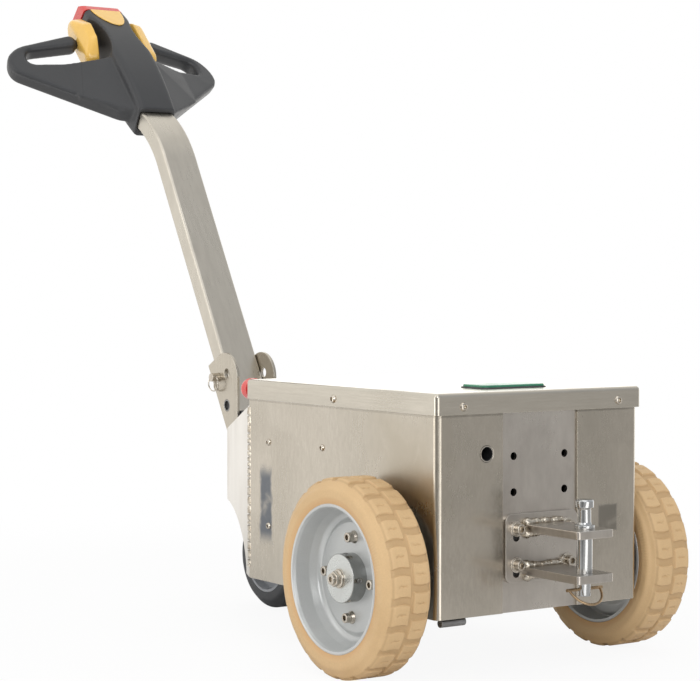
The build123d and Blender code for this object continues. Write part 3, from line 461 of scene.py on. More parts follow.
@dataclass(frozen=True)
class SeamFinish(Finish):
    """Moulded finish with parting lines.

    Attributes:
        seams: Point and direction across each line, in metres.
    """

    seams: tuple = ()

    def marks(self, g: Graph, place: Socket, colour: Socket, rough: Socket, height: Socket) -> tuple:
        """Add the parting lines over the finish."""
        for point, across in self.seams:
            line = g.group("line_mark", {"Vector": place, "Point": point, "Across": across})
            colour = g.mix(g.math("MULTIPLY", line, 0.6), colour, (0.01, 0.01, 0.01, 1))
            height = g.math("SUBTRACT", height, line)
        return colour, rough, height


@dataclass(frozen=True)
class TyreFinish(Finish):
    """Solid rubber with radial moulding lines on the sidewall, a darker, redder tint near the rim and painted
    shade in the tread's grooves.

    Attributes:
        centre: Middle of the wheel, in metres.
        inner: Colour near the rim, linear.
        painted_groove_shade: Colour of the painted shade in the tread's grooves, linear.
    """

    centre: Row = (0.0, 0.0, 0.0)
    inner: Colour = (0.5, 0.25, 0.1)
    painted_groove_shade: Colour = (0.33, 0.205, 0.095)
    # Spans over which the marks fade, in metres
    WALL = (0.116, 0.108)
    BEAD = (0.104, 0.093)
    TREAD_EDGE = (0.029, 0.027)
    GROOVE = (0.1246, 0.1226)

    def marks(self, g: Graph, place: Socket, colour: Socket, rough: Socket, height: Socket) -> tuple:
        """Add the radial lines, the tint by radius and the painted shade in the grooves."""
        away = g.vector("SUBTRACT", place, self.centre)
        flat = g.vector("MULTIPLY", away, (1.0, 0.0, 1.0))
        radius = g.vector("LENGTH", flat, out=1)
        parts = g.node("SeparateXYZ", {0: away})
        angle = g.math("ARCTAN2", parts.outputs[2], parts.outputs[0])
        ripple = g.math("SINE", g.math("MULTIPLY", angle, 180.0))
        wall = g.remap(radius, *self.WALL)
        height = g.math("ADD", height, g.math("MULTIPLY", g.math("MULTIPLY", ripple, 0.6), wall))
        near = g.remap(radius, *self.BEAD, 0.0, 0.55)
        colour = g.mix(near, colour, (*self.inner, 1))
        tread = g.remap(g.math("ABSOLUTE", parts.outputs[1]), *self.TREAD_EDGE)
        # Painted shade: low places between the pads are darkened towards dark brown, standing for the pads'
        # shadows
        groove = g.math("MULTIPLY", g.remap(radius, *self.GROOVE, 0.0, 0.32), tread)
        return g.mix(groove, colour, (*self.painted_groove_shade, 1)), rough, height


BRUSHED = (0.55, 0.505, 0.43)
STAIN = (0.41, 0.375, 0.315)
BRIGHT = (0.86, 0.84, 0.80)
VERTICAL = (1.0, 1.0, 0.06)
SMUDGED = (1.0, 1.0, 0.3)
ALL_WAYS = (1.0, 1.0, 1.0)
# Columns: name, colour, patches' colour, roughness, metallic, grain scale, stretch,
# then relief, patch scale and amount, wear colour and amount, scratches, coat
STAINLESS = Finish(
    "stainless", BRUSHED, STAIN, 0.24, 1.0, 420.0, VERTICAL,
    0.02, 5.0, 0.35, BRIGHT, 0.4, 0.2, streaks=0.06,
)
# Painted light: the nose is a lit copy of the body's stainless, painted lighter where the key light falls on
# it
NOSE_STEEL_LIT = Finish(
    "nose_steel", (0.70, 0.67, 0.62), BRUSHED, 0.30, 1.0, 420.0, VERTICAL,
    0.02, 6.0, 0.4, BRIGHT, 0.5, 0.2, streaks=0.04,
)
LID_STEEL = Finish(
    "lid_steel", (0.58, 0.54, 0.47), STAIN, 0.22, 1.0, 380.0, (0.06, 0.06, 1),
    0.015, 4.0, 0.4, BRIGHT, 0.4, 0.2, streaks=0.05,
)
PLATE_STEEL = Finish(
    "plate_steel", (0.60, 0.56, 0.51), (0.44, 0.40, 0.36), 0.28, 1.0, 320.0, (1, 0.3, 0.12),
    0.03, 14.0, 0.5, BRIGHT, 0.5, 0.4, streaks=0.08,
)
ARM_STEEL = Finish(
    "arm_steel", (0.60, 0.56, 0.49), (0.50, 0.46, 0.40), 0.27, 1.0, 160.0, (0.3, 1, 0.1),
    0.008, 9.0, 0.35, BRIGHT, 0.1, 0.15,
)
ZINC = Finish(
    "zinc_steel", (0.52, 0.53, 0.535), (0.34, 0.35, 0.355), 0.16, 1.0, 500.0, ALL_WAYS,
    0.04, 40.0, 0.5, BRIGHT, 0.5, 0.6,
)
WARM_STEEL = Finish(
    "warm_steel", (0.58, 0.53, 0.46), (0.40, 0.35, 0.29), 0.20, 1.0, 500.0, ALL_WAYS,
    0.06, 50.0, 0.5, BRIGHT, 0.4, 0.3,
)
DULL_ZINC = Finish(
    "dull_zinc", (0.30, 0.30, 0.30), (0.18, 0.17, 0.16), 0.38, 1.0, 400.0, ALL_WAYS,
    0.12, 30.0, 0.6, (0.6, 0.6, 0.6), 0.4, 0.3,
)
WELD = Finish(
    "weld_bead", (0.60, 0.55, 0.47), (0.30, 0.24, 0.17), 0.18, 1.0, 700.0, ALL_WAYS,
    0.3, 90.0, 0.7, BRIGHT, 0.2,
)
CLIP_GOLD = Finish(
    "clip_wire", (0.46, 0.33, 0.20), (0.22, 0.15, 0.09), 0.26, 1.0, 500.0, ALL_WAYS,
    0.1, 60.0, 0.6, (0.7, 0.6, 0.4), 0.3,
)
SILVER = Finish(
    "silver_paint", (0.56, 0.57, 0.565), (0.48, 0.49, 0.49), 0.30, 0.35, 900.0, ALL_WAYS,
    0.03, 14.0, 0.5, (0.82, 0.83, 0.83), 0.5, 0.2,
)
# Painted light: the hub's face is a lit copy of its steel, painted lighter than the side
HUB_FACE_LIT = Finish(
    "hub_face", (0.62, 0.635, 0.62), (0.52, 0.53, 0.52), 0.26, 0.8, 700.0, ALL_WAYS,
    0.02, 22.0, 0.5, BRIGHT, 0.5, 0.3,
)
# Painted shade: the hub's side is a shaded copy of the same steel, painted darker than the face
HUB_SIDE_SHADED = Finish(
    "hub_side", (0.36, 0.365, 0.355), (0.26, 0.265, 0.26), 0.14, 1.0, 500.0, (0.1, 1, 0.1),
    0.03, 30.0, 0.5, BRIGHT, 0.4, 0.3,
)
RUBBER = Finish(
    "castor_rubber", (0.045, 0.047, 0.052), (0.075, 0.075, 0.078), 0.55, 0.0, 700.0, ALL_WAYS,
    0.2, 20.0, 0.6, (0.12, 0.12, 0.12), 0.3,
)
CASTOR_GREY = Finish(
    "castor_centre", (0.30, 0.31, 0.33), (0.2, 0.2, 0.21), 0.45, 0.0, 600.0, ALL_WAYS,
    0.1, 20.0, 0.5, (0.45, 0.45, 0.45), 0.4,
)
YELLOW = Finish(
    "yellow_plastic", (0.92, 0.56, 0.115), (0.84, 0.48, 0.08), 0.12, 0.0, 700.0, ALL_WAYS,
    0.02, 30.0, 0.4, (0.97, 0.70, 0.28), 0.3, 0.2, 0.6,
)
RED = Finish(
    "red_plastic", (0.72, 0.055, 0.05), (0.60, 0.04, 0.04), 0.22, 0.0, 700.0, ALL_WAYS,
    0.03, 30.0, 0.4, (0.86, 0.24, 0.22), 0.3, 0.2, 0.4,
)
GREEN = Finish(
    "green_plastic", (0.035, 0.23, 0.13), (0.025, 0.18, 0.10), 0.24, 0.0, 700.0, ALL_WAYS,
    0.05, 30.0, 0.4, (0.25, 0.5, 0.38), 0.6, 0.2, 0.3,
)
BLACK = Finish(
    "black_plastic", (0.012, 0.012, 0.013), (0.02, 0.02, 0.021), 0.45, 0.0, 600.0, ALL_WAYS,
    0.1, 30.0, 0.5, (0.1, 0.1, 0.1), 0.3,
)
CASE = Finish("battery_case", (0.04, 0.04, 0.04), (0.06, 0.06, 0.06), 0.6)
CASTING = Finish("drive_casting", (0.4, 0.4, 0.4), (0.3, 0.3, 0.3), 0.5, 1.0)
# Painted shadow: a dark line on the side panels just under the lid's skirt, where the lid casts its shade
LID_PAINTED_SHADOW = Mark((-218, 0, 327.6), (300, 200, 1.7), (0.09, 0.08, 0.065), 0.85, 0.6)
TOP_SHADE = Mark((-218, 0, 318), (330, 200, 46), (0.42, 0.385, 0.325), 0.6, 0.9, 25.0)
PANEL_LEFT = MarkedFinish(
    "panel_left", (0.56, 0.515, 0.445), STAIN, 0.19, 1.0, 300.0, SMUDGED, 0.003, 8.0, 0.45, BRIGHT, 0.3, 0.3,
    boxes=(
        TOP_SHADE,
        Mark((-60, -161, 270), (110, 30, 90), (0.38, 0.335, 0.265), 0.6, 0.9, 40.0),
        # Painted shade: a dark blue-grey patch beside the tyre that stands for the tyre's shadow and dark
        # reflection on the panel
        Mark((-392.6, -161, 186), (18, 30, 58), (0.125, 0.14, 0.165), 0.92, 0.4, 12.0),
        LID_PAINTED_SHADOW,
    ),
)
PANEL_RIGHT = MarkedFinish(
    "panel_right", (0.56, 0.515, 0.445), STAIN, 0.19, 1.0, 300.0, SMUDGED, 0.003, 8.0, 0.45, BRIGHT, 0.3, 0.3,
    boxes=(TOP_SHADE, Mark((0, 111, 188.5), (8, 17, 18.5), (0.20, 0.185, 0.16), 0.8, 0.2, 2.0), LID_PAINTED_SHADOW),
)


class Shape:
    """Mesh under construction."""

    def __init__(self, name: str) -> None:
        self.name = name
        self.bm = bmesh.new()

    def add_node(self, node: str, move: Vector | None = None) -> "Shape":
        """Add a merged copy of a CAD node, moved if asked."""
        before = len(self.bm.verts)
        self.bm.from_mesh(frame["nodes"][node].data)
        self.bm.verts.ensure_lookup_table()
        fresh = self.bm.verts[before:]
        if move is not None:
            bmesh.ops.translate(self.bm, verts=fresh, vec=move)
        bmesh.ops.remove_doubles(self.bm, verts=fresh, dist=1e-5)
        return self

    def flatten(self, degrees: float = 1.0) -> "Shape":
        """Join coplanar triangles into larger faces."""
        limit = math.radians(degrees)
        bmesh.ops.dissolve_limit(self.bm, angle_limit=limit, verts=self.bm.verts, edges=self.bm.edges)
        return self

    def bevel(self, width: float, segments: int = 2, degrees: float = 30.0) -> "Shape":
        """Round every edge sharper than an angle; the width is in millimetres."""
        limit = math.radians(degrees)
        sharp = [e for e in self.bm.edges if len(e.link_faces) == 2 and e.calc_face_angle(0.0) > limit]
        bmesh.ops.bevel(
            self.bm, geom=sharp, offset=width * MM, offset_type="OFFSET", segments=segments, profile=0.5,
            affect="EDGES", material=-1, clamp_overlap=True,
        )
        return self

    def lathe(self, profile: Sequence[tuple[float, float]], place: Matrix, steps: int = 64) -> "Shape":
        """Spin a profile about the Z axis of a place.

        Args:
            profile: Radius and height of each point, millimetres.
            place: Where the axis stands, in metres.
            steps: Number of steps round the axis.

        Returns:
            The shape itself.
        """
        made = [self.bm.verts.new((radius * MM, 0, height * MM)) for radius, height in profile]
        edges = [self.bm.edges.new(pair) for pair in zip(made, made[1:])]
        bmesh.ops.spin(
            self.bm, geom=made + edges, cent=(0, 0, 0), axis=(0, 0, 1), dvec=(0, 0, 0), angle=2 * math.pi,
            steps=steps, use_merge=True, use_normal_flip=False, use_duplicate=False,
        )
        self.bm.verts.index_update()
        fresh = self.connected(made)
        bmesh.ops.remove_doubles(self.bm, verts=fresh, dist=1e-6)
        fresh = [v for v in fresh if v.is_valid]
        bmesh.ops.transform(self.bm, matrix=place, verts=fresh)
        return self

    def connected(self, start: Iterable[bmesh.types.BMVert]) -> list[bmesh.types.BMVert]:
        """Every vertex joined by edges to the given ones."""
        seen = set(start)
        stack = list(seen)
        while stack:
            for edge in stack.pop().link_edges:
                for vert in edge.verts:
                    if vert not in seen:
                        seen.add(vert)
                        stack.append(vert)
        return list(seen)

    def hull(self, points: Iterable[Vector]) -> "Shape":
        """Add the convex hull of points, in metres."""
        made = [self.bm.verts.new(point) for point in points]
        result = bmesh.ops.convex_hull(self.bm, input=made, use_existing_faces=False)
        spare = set(result["geom_interior"] + result["geom_unused"])
        inside = [item for item in spare if isinstance(item, bmesh.types.BMVert)]
        bmesh.ops.delete(self.bm, geom=inside, context="VERTS")
        return self

    def prism(self, sides: int, radius: float, height: float, place: Matrix, chamfer: float = 0.0) -> "Shape":
        """Regular prism that stands on a place; sizes in millimetres."""
        made = bmesh.ops.create_cone(
            self.bm, cap_ends=True, segments=sides, radius1=radius * MM, radius2=radius * MM,
            depth=height * MM, matrix=place @ Matrix.Translation((0, 0, height * MM / 2)),
        )
        if chamfer:
            edges = {e for v in made["verts"] for e in v.link_edges if e.calc_face_angle(0.0) > 0.5}
            bmesh.ops.bevel(
                self.bm, geom=list(edges), offset=chamfer * MM, offset_type="OFFSET", segments=2, profile=0.5,
                affect="EDGES", material=-1, clamp_overlap=True,
            )
        return self

    def tube(
        self, points: Sequence[Vector], radius: Callable[[int], float], sides: int = 10, closed: bool = False
    ) -> "Shape":
        """Tube along points.

        Args:
            points: Middle line, in metres.
            radius: Radius in millimetres from a point's number.
            sides: Sides of the tube.
            closed: Join the last point to the first.

        Returns:
            The shape itself.
        """
        rings = []
        count = len(points)
        for i, point in enumerate(points):
            ahead = points[(i + 1) % count] if closed or i + 1 < count else point
            behind = points[i - 1] if closed or i else point
            along = (ahead - behind).normalized()
            turn = along.to_track_quat("Z", "Y").to_matrix().to_4x4()
            place = Matrix.Translation(point) @ turn
            ring = bmesh.ops.create_circle(
                self.bm, segments=sides, radius=radius(i) * MM, matrix=place, cap_ends=False
            )
            rings.append(ring["verts"])
        pairs = list(zip(rings, rings[1:] + rings[:1])) if closed else list(zip(rings, rings[1:]))
        for first, second in pairs:
            for i in range(sides):
                j = (i + 1) % sides
                self.bm.faces.new((first[i], first[j], second[j], second[i]))
        if not closed:
            self.bm.faces.new(rings[0])
            self.bm.faces.new(rings[-1])
        return self

    def finish(
        self, finish: Finish, body: Body, nodes: Sequence[str] = (), slot: str = FITTING_SLOT,
        smooth: float = 40.0, even: bool = False,
    ) -> bpy.types.Object:
        """Turn the shape into a piece of the model.

        Args:
            finish: Its material.
            body: The body it moves with.
            nodes: CAD nodes that it stands for.
            slot: Slot of the record, where it stands for no node; not used.
            smooth: Edges flatter than this angle are shaded smooth.
            even: Let large faces lead the shading, so that flat sheets look flat.

        Returns:
            The new object.
        """
        bmesh.ops.recalc_face_normals(self.bm, faces=self.bm.faces)
        for face in self.bm.faces:
            face.smooth = True
        for edge in self.bm.edges:
            edge.smooth = edge.calc_face_angle(0.0) < math.radians(smooth)
        mesh = bpy.data.meshes.new(self.name)
        self.bm.to_mesh(mesh)
        self.bm.free()
        made = bpy.data.objects.new(self.name, mesh)
        bpy.context.scene.collection.objects.link(made)
        mesh.materials.append(finish.material())
        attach(made, body.value)
        if nodes:
            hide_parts(*nodes)
        SLOT_OF[nodes[0]] if nodes else slot
        if even:
            made.modifiers.new("even_shading", "WEIGHTED_NORMAL").keep_sharp = True
        LOG.info("%s: %d faces on %s", self.name, len(mesh.polygons), body.value)
        return made


def rounded(points: Sequence[tuple[float, float, float]], steps: int = 5) -> list[tuple[float, float]]:
    """Replace corners of an open profile by arcs.

    Args:
        points: First and second coordinate and corner radius of each point.
        steps: Steps along each arc.

    Returns:
        The points of the rounded profile.
    """
    made: list[tuple[float, float]] = []
    for i, (a, b, radius) in enumerate(points):
        here = Vector((a, b))
        if radius <= 0 or i in (0, len(points) - 1):
            made.append((a, b))
            continue
        back = (Vector(points[i - 1][:2]) - here).normalized()
        ahead = (Vector(points[i + 1][:2]) - here).normalized()
        half = back.angle(ahead) / 2
        reach = radius / math.tan(half)
        centre = here + (back + ahead).normalized() * (radius / math.sin(half))
        start = here + back * reach - centre
        end = here + ahead * reach - centre
        turn = start.angle_signed(end)
        for step in range(steps + 1):
            spoke = start.copy()
            spoke.rotate(Matrix.Rotation(-turn * step / steps, 2))
            made.append(tuple(centre + spoke))
    return made


def resample(points: Sequence[tuple[float, float]], gap: float) -> list[tuple[float, float]]:
    """Split long stretches of a profile so that no step is longer than the gap."""
    made = [points[0]]
    for first, second in zip(points, points[1:]):
        count = max(1, math.ceil(math.dist(first, second) / gap))
        for step in range(1, count + 1):
            t = step / count
            made.append((first[0] + (second[0] - first[0]) * t, first[1] + (second[1] - first[1]) * t))
    return made


def facing(point: Vector, way: Sequence[float]) -> Matrix:
    """Place at a point whose Z axis looks along a direction."""
    return Matrix.Translation(point) @ Vector(way).to_track_quat("Z", "Y").to_matrix().to_4x4()


@dataclass
class Dressed:
    """CAD node shown as a merged copy with rounded edges.

    Attributes:
        node: Name of the CAD node.
        finish: Its material.
        body: The body it moves with.
        bevel: Width of the rounded edges, millimetres; 0 leaves them.
    """

    node: str
    finish: Finish
    body: Body = Body.CHASSIS
    bevel: float = 0.6

    def build(self) -> bpy.types.Object:
        """Make the dressed copy."""
        shape = Shape("v_" + self.node).add_node(self.node)
        if self.bevel:
            shape.flatten().bevel(self.bevel)
        return shape.finish(self.finish, self.body, [self.node], smooth=60, even=True)


class Housing:
    """Body shell, nose and the fittings that keep their CAD form."""

    PLAIN = [
        Dressed("hitch_plate", PLATE_STEEL),
        Dressed("bulkhead", STAINLESS),
        Dressed("floor_plate", STAINLESS),
        Dressed("belly_hinge", DULL_ZINC, bevel=0.8),
        Dressed("lid", LID_STEEL, bevel=0.5),
        Dressed("indicator_gasket", RUBBER, bevel=0.3),
        Dressed("indicator_panel", GREEN, bevel=0.4),
        Dressed("charge_socket", BLACK, bevel=0.3),
        Dressed("emergency_stop", RED, bevel=0.0),
        Dressed("battery", CASE, bevel=2.0),
        Dressed("drive_unit", CASTING, bevel=2.0),
        Dressed("nose_cover", NOSE_STEEL_LIT),
        Dressed("nose_end_plate", NOSE_STEEL_LIT),
        Dressed("castor_mount_plate", STAINLESS),
        Dressed("foot_buffer", RUBBER, bevel=2.0),
        Dressed("tiller_pivot", DULL_ZINC, bevel=0.6),
        Dressed("lock_pin", WARM_STEEL, bevel=1.0),
        Dressed("castor_plate", DULL_ZINC, bevel=0.8),
        Dressed("castor_fork", DULL_ZINC, Body.CASTOR_FORK, 0.8),
        Dressed("castor_axle", ZINC, Body.CASTOR_FORK, 0.6),
        Dressed("castor_rim", CASTOR_GREY, Body.CASTOR_WHEEL, 0.8),
        Dressed("castor_tyre", RUBBER, Body.CASTOR_WHEEL, 0.0),
        Dressed("hitch_base", PLATE_STEEL, bevel=0.8),
        Dressed("hitch_upper_plate", PLATE_STEEL, bevel=1.0),
        Dressed("hitch_lower_plate", PLATE_STEEL, bevel=1.0),
        Dressed("pin_clip", CLIP_GOLD, bevel=0.0),
        Dressed("tiller_arm", ARM_STEEL, Body.TILLER, 0.5),
        Dressed("red_cap", RED, Body.TILLER, 2.5),
        Dressed("side_panel_left", PANEL_LEFT),
        Dressed("side_panel_right", PANEL_RIGHT),
        Dressed("nose_side_left", NOSE_STEEL_LIT),
        Dressed("nose_side_right", NOSE_STEEL_LIT),
        Dressed("tiller_ear_left", STAINLESS, bevel=0.8),
        Dressed("tiller_ear_right", STAINLESS, bevel=0.8),
    ]

    def build(self) -> None:
        """Make every plain piece."""
        for piece in self.PLAIN:
            piece.build()


@dataclass
class DriveWheel:
    """Drive wheel with treaded tyre, dished rim, hub and screws; sizes in millimetres.

    Attributes:
        side: Side of the machine.
        pitches: Tread pads in each row.
        steps_per_pitch: Mesh steps along one pad.
        pad_rise: Height of a pad over the carcass.
        pad_reach: Distance of a pad's far edge from the middle of the tread.
        shoulder_share: Height of the shoulder band as a share of a pad's.
        first_pad: Turn of the outer row's first pad, in pitches.
        groove_half: Half the width of a crosswise groove.
        groove_arch: Rise of a groove's bow.
        rib_half: Half the width of the channel between the rows.
        slit_half: Half the length of the slit in a pad.
        disc_recess: Depth of the flat disc under the lip.
        bowl_depth: Depth of the bowl under the lip.
        disc_radius: Radius of the flat disc.
        hub_radius: Radius of the hub.
        hub_length: Height of the hub over the disc.
        bore: Radius of the hub's bore.
        hole_radius: Radius of the dark discs that stand for the cross holes in the hub, as painted shade.
        shaft_radius: Radius of the half shaft.
        stud_length: Reach of the stud over the hub's face.
        stud_radius: Radius of the stud's end.
        stud_socket: Radius of the socket in the stud's end.
        washer_radius: Radius of the washer under the nut.
        washer_height: Height of the washer.
        flange_radius: Radius of the nut's flange.
        flange_height: Height of the nut's flange.
        nut_width: Width of the nut across its flats.
        nut_height: Height of the nut's flats.
        screw_ring: Radius of the screw circle.
        screw_turn: Turn of the first screw, degrees.
    """

    side: Side
    pitches: int = 22
    steps_per_pitch: int = 30
    pad_rise: float = 3.0
    pad_reach: float = 27.5
    shoulder_share: float = 0.8
    first_pad: float = 0.07
    groove_half: float = 4.9
    groove_arch: float = 2.6
    rib_half: float = 2.2
    slit_half: float = 7.0
    disc_recess: float = 32.0
    bowl_depth: float = 36.0
    disc_radius: float = 68.5
    hub_radius: float = 30.6
    hub_length: float = 20.0
    bore: float = 6.2
    hole_radius: float = 3.0
    shaft_radius: float = 12.5
    stud_length: float = 14.0
    stud_radius: float = 6.9
    stud_socket: float = 3.3
    washer_radius: float = 12.4
    washer_height: float = 2.1
    flange_radius: float = 11.6
    flange_height: float = 2.5
    nut_width: float = 17.5
    nut_height: float = 5.6
    screw_ring: float = 50.5
    screw_turn: float = -3.0

    def __post_init__(self) -> None:
        """Read the wheel's place and size from the frame."""
        self.word = self.side.name.lower()
        self.body = Body("drive_wheel_" + self.word)
        low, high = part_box("tyre_" + self.word)
        self.centre = (low + high) / 2
        self.radius = max(high.z - low.z, high.x - low.x) / 2 / MM
        self.half = (high.y - low.y) / 2 / MM
        self.place = facing(self.centre, (0, self.side.value, 0))
        low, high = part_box("rim_" + self.word)
        self.lip = (high.y - low.y) / 2 / MM
        self.seat = (high.z - low.z) / 2 / MM
        self.disc = self.lip - self.disc_recess

    def pad_height(self, turn: float, across: float) -> float:
        """Height of the tread over the carcass.

        Args:
            turn: Place round the wheel, in pitches.
            across: Distance from the middle of the tread, outwards.

        Returns:
            The height, millimetres.
        """
        pitch = 2 * math.pi * self.radius / self.pitches
        reach = abs(across)
        bow = self.groove_arch * (1 - ((reach - self.pad_reach / 2) / (self.pad_reach / 2)) ** 2)
        start, way = (self.first_pad, 1) if across > 0 else (self.first_pad + 0.5, -1)
        place = ((turn - start - way * bow / pitch + 0.5) % 1.0 - 0.5) * pitch
        edge = pitch / 2 - self.groove_half
        pad = 1 - smoothstep(edge - 0.6, edge + 0.9, abs(place))
        pad *= smoothstep(self.rib_half - 0.6, self.rib_half + 0.8, reach)
        seam = 1 - 0.25 * (1 - smoothstep(0.4, 1.4, abs(reach - self.pad_reach)))
        shoulder = self.shoulder_share * smoothstep(self.pad_reach - 0.8, self.pad_reach + 0.8, reach)
        pad = max(pad, shoulder) * seam
        wave = 0.7 * math.sin((reach - self.pad_reach / 2) * 0.9)
        slit = 1 - smoothstep(0.5, 1.3, abs(place - wave))
        slit *= 1 - smoothstep(self.slit_half - 1, self.slit_half, abs(reach - self.pad_reach / 2))
        return self.pad_rise * pad - 1.3 * slit

    def tyre(self) -> None:
        """Tyre: spun carcass with the tread's pads pressed out of its crown."""
        bead = self.seat + 0.1
        wall, crown = self.half, self.radius - self.pad_rise
        rows = [
            (bead, -wall + 2.0, 0), (bead + 8.5, -wall, 8), (crown - 11, -wall, 9), (crown, -wall + 9, 9),
            (crown, wall - 9, 9), (crown - 11, wall, 9), (bead + 8.5, wall, 8), (bead, wall - 2.0, 0),
        ]
        shape = Shape("v_tyre_" + self.word)
        shape.lathe(resample(rounded(rows), 1.35), self.place, self.pitches * self.steps_per_pitch)
        for vert in shape.bm.verts:
            away = vert.co - self.centre
            spoke = Vector((away.x, 0, away.z))
            fade = smoothstep(crown - 7, crown - 1, spoke.length / MM)
            if not fade:
                continue
            turn = math.atan2(away.z, away.x) / (2 * math.pi) * self.pitches
            vert.co += spoke.normalized() * self.pad_height(turn, away.y * self.side.value / MM) * fade * MM
        tan = TyreFinish(
            "tan_tyre_" + self.word, (0.66, 0.45, 0.235), (0.56, 0.37, 0.185), 0.55, 0.0, 500.0, ALL_WAYS,
            0.10, 9.0, 0.6, (0.74, 0.55, 0.33), 0.4, centre=tuple(self.centre), inner=(0.60, 0.33, 0.14),
        )
        shape.finish(tan, self.body, ["tyre_" + self.word], smooth=50)

    def rim(self) -> None:
        """Rim: rolled lip, soft bowl, flat disc with a crisp edge, and barrel."""
        radius, lip, disc, bowl = self.seat, self.lip, self.disc, self.lip - self.bowl_depth
        hole = self.shaft_radius + 0.2
        rows = [
            (radius - 4, -lip, 0), (radius, -lip, 1.2), (radius, lip - 2, 1.0),
            (radius + 0.9, lip - 0.4, 0.8),
            (radius - 0.6, lip + 0.9, 0.8), (radius - 3.2, lip + 0.4, 1.2), (radius - 4.8, lip - 4, 3.0),
            (radius - 7.5, lip - 22, 12), (radius - 13, bowl, 8), (self.disc_radius + 5, bowl, 4),
            (self.disc_radius + 0.6, disc - 0.6, 0.5), (self.disc_radius - 0.6, disc, 0.4),
            (hole, disc, 0), (hole, disc - 7, 0),
            (self.disc_radius - 4, disc - 7, 3), (self.disc_radius + 3, bowl - 5, 3),
            (radius - 9, bowl - 5, 5), (radius - 4, bowl + 5, 2), (radius - 4, -lip, 0),
        ]
        Shape("v_rim_" + self.word).lathe(rounded(rows, 7), self.place, 144).finish(
            SILVER, self.body, ["rim_" + self.word], smooth=35
        )

    def hub(self) -> None:
        """Hub with washer, flanged nut and stud end with a socket; its face is painted lighter and its side
        darker, as painted light and shade, and dark discs stand for its cross holes as painted shade.
        """
        face = self.disc + self.hub_length
        r, bore = self.hub_radius, self.bore
        rows = [(bore, self.disc - 0.5, 0), (r, self.disc - 0.5, 0), (r, face, 0.9), (bore, face, 0)]
        Shape("v_drive_hub_" + self.word).lathe(rounded(rows), self.place, 96).finish(
            HUB_SIDE_SHADED, self.body, ["drive_hub_" + self.word]
        )
        # Thin cap that lays the lighter, lit copy of the hub's steel over its face: painted light
        cap = [(bore, face + 0.06), (r - 1.0, face + 0.06), (r - 0.9, face - 0.1)]
        Shape("v_hub_face_" + self.word).lathe(cap, self.place, 96).finish(HUB_FACE_LIT, self.body)
        wide = self.washer_radius
        over = face + self.washer_height
        washer = [
            (bore, face, 0), (wide, face, 0), (wide, over - 0.5, 0.4), (wide - 1.4, over - 0.4, 0),
            (wide - 1.4, over, 0), (bore, over, 0),
        ]
        nut = Shape("v_hub_nut_" + self.word).lathe(rounded(washer), self.place, 48)
        wide = self.flange_radius
        top = over + self.flange_height
        flange = [
            (bore, over, 0), (wide, over, 0.3), (wide - 0.2, top - 1.0, 0.6), (wide - 2.6, top, 0.5),
            (bore, top, 0),
        ]
        nut.lathe(rounded(flange), self.place, 48)
        seat = self.place @ Matrix.Translation((0, 0, (top - 0.2) * MM))
        nut.prism(6, self.nut_width / math.sqrt(3), self.nut_height, seat, 0.7)
        nut.finish(WARM_STEEL, self.body)
        end = face + self.stud_length
        low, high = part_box("half_shaft_" + self.word)
        inner = end - (high.y - low.y) / MM
        thread, socket, shaft = self.stud_radius, self.stud_socket, self.shaft_radius
        neck = bore - 0.2
        stud = [
            (0, end - 6, 0), (socket, end - 6, 0), (socket, end, 0.4), (thread, end, 1.0),
            (thread, face + 9.8, 0), (neck, face + 9.8, 0), (neck, self.disc + 1, 0),
            (shaft, self.disc + 1, 0), (shaft, inner, 1.0), (0, inner, 0),
        ]
        Shape("v_half_shaft_" + self.word).lathe(rounded(stud), self.place, 48).finish(
            WARM_STEEL, self.body, ["half_shaft_" + self.word]
        )
        # Painted shade: the cross holes are not cut; dull dark rimmed discs on the hub's side stand for their
        # dark insides
        wide = self.hole_radius
        hole = [(0, 0.15, 0), (wide - 0.7, 0.15, 0), (wide - 0.4, 0.5, 0.1), (wide, 0.1, 0), (wide, -0.6, 0)]
        for step in range(4):
            turn = math.radians(90 * step)
            way = Vector((math.cos(turn), 0, math.sin(turn)))
            out = Vector((0, self.side.value, 0)) * (self.disc + self.hub_length * 0.55) * MM
            place = facing(self.centre + out + way * (r - 0.1) * MM, way)
            shape = Shape(f"v_hub_hole_{self.word}_{step}").lathe(rounded(hole), place, 20)
            shape.finish(DULL_ZINC, self.body)

    def screws(self) -> None:
        """Four cap screws on flared seats."""
        for step in range(4):
            turn = math.radians(self.screw_turn + 90 * step)
            spoke = Vector((math.cos(turn), 0, math.sin(turn))) * self.screw_ring * MM
            out = Vector((0, self.side.value, 0)) * self.disc * MM
            name = f"v_wheel_screw_{self.word}_{step}"
            CapScrew(name, self.centre + spoke + out, (0, self.side.value, 0), self.body).build()

    def build(self) -> None:
        """Make the whole wheel."""
        self.tyre()
        self.rim()
        self.hub()
        self.screws()


@dataclass
class CapScrew:
    """Socket head cap screw on a flared seat; sizes in millimetres.

    Attributes:
        name: Name of the piece.
        point: Middle of the seat, in metres.
        way: Direction of the head.
        body: The body it moves with.
        head: Diameter of the head.
        height: Height of the whole screw over its seat.
        flare: Diameter of the flared seat.
    """

    name: str
    point: Vector
    way: Row
    body: Body
    head: float = 12.4
    height: float = 11.6
    flare: float = 16.4

    def build(self) -> None:
        """Make the screw."""
        r, h, w = self.head / 2, self.height, self.flare / 2
        rows = [
            (r * 0.1, -0.2, 0), (w, -0.2, 0), (w, 0.8, 0.4), (r + 0.3, 3.4, 1.0), (r, 3.8, 0.3), (r, h, 0.8),
            (r * 0.56, h, 0.3), (r * 0.52, h * 0.45, 0), (0, h * 0.4, 0),
        ]
        shape = Shape(self.name).lathe(rounded(rows, 3), facing(self.point, self.way), 28)
        shape.finish(WARM_STEEL, self.body)


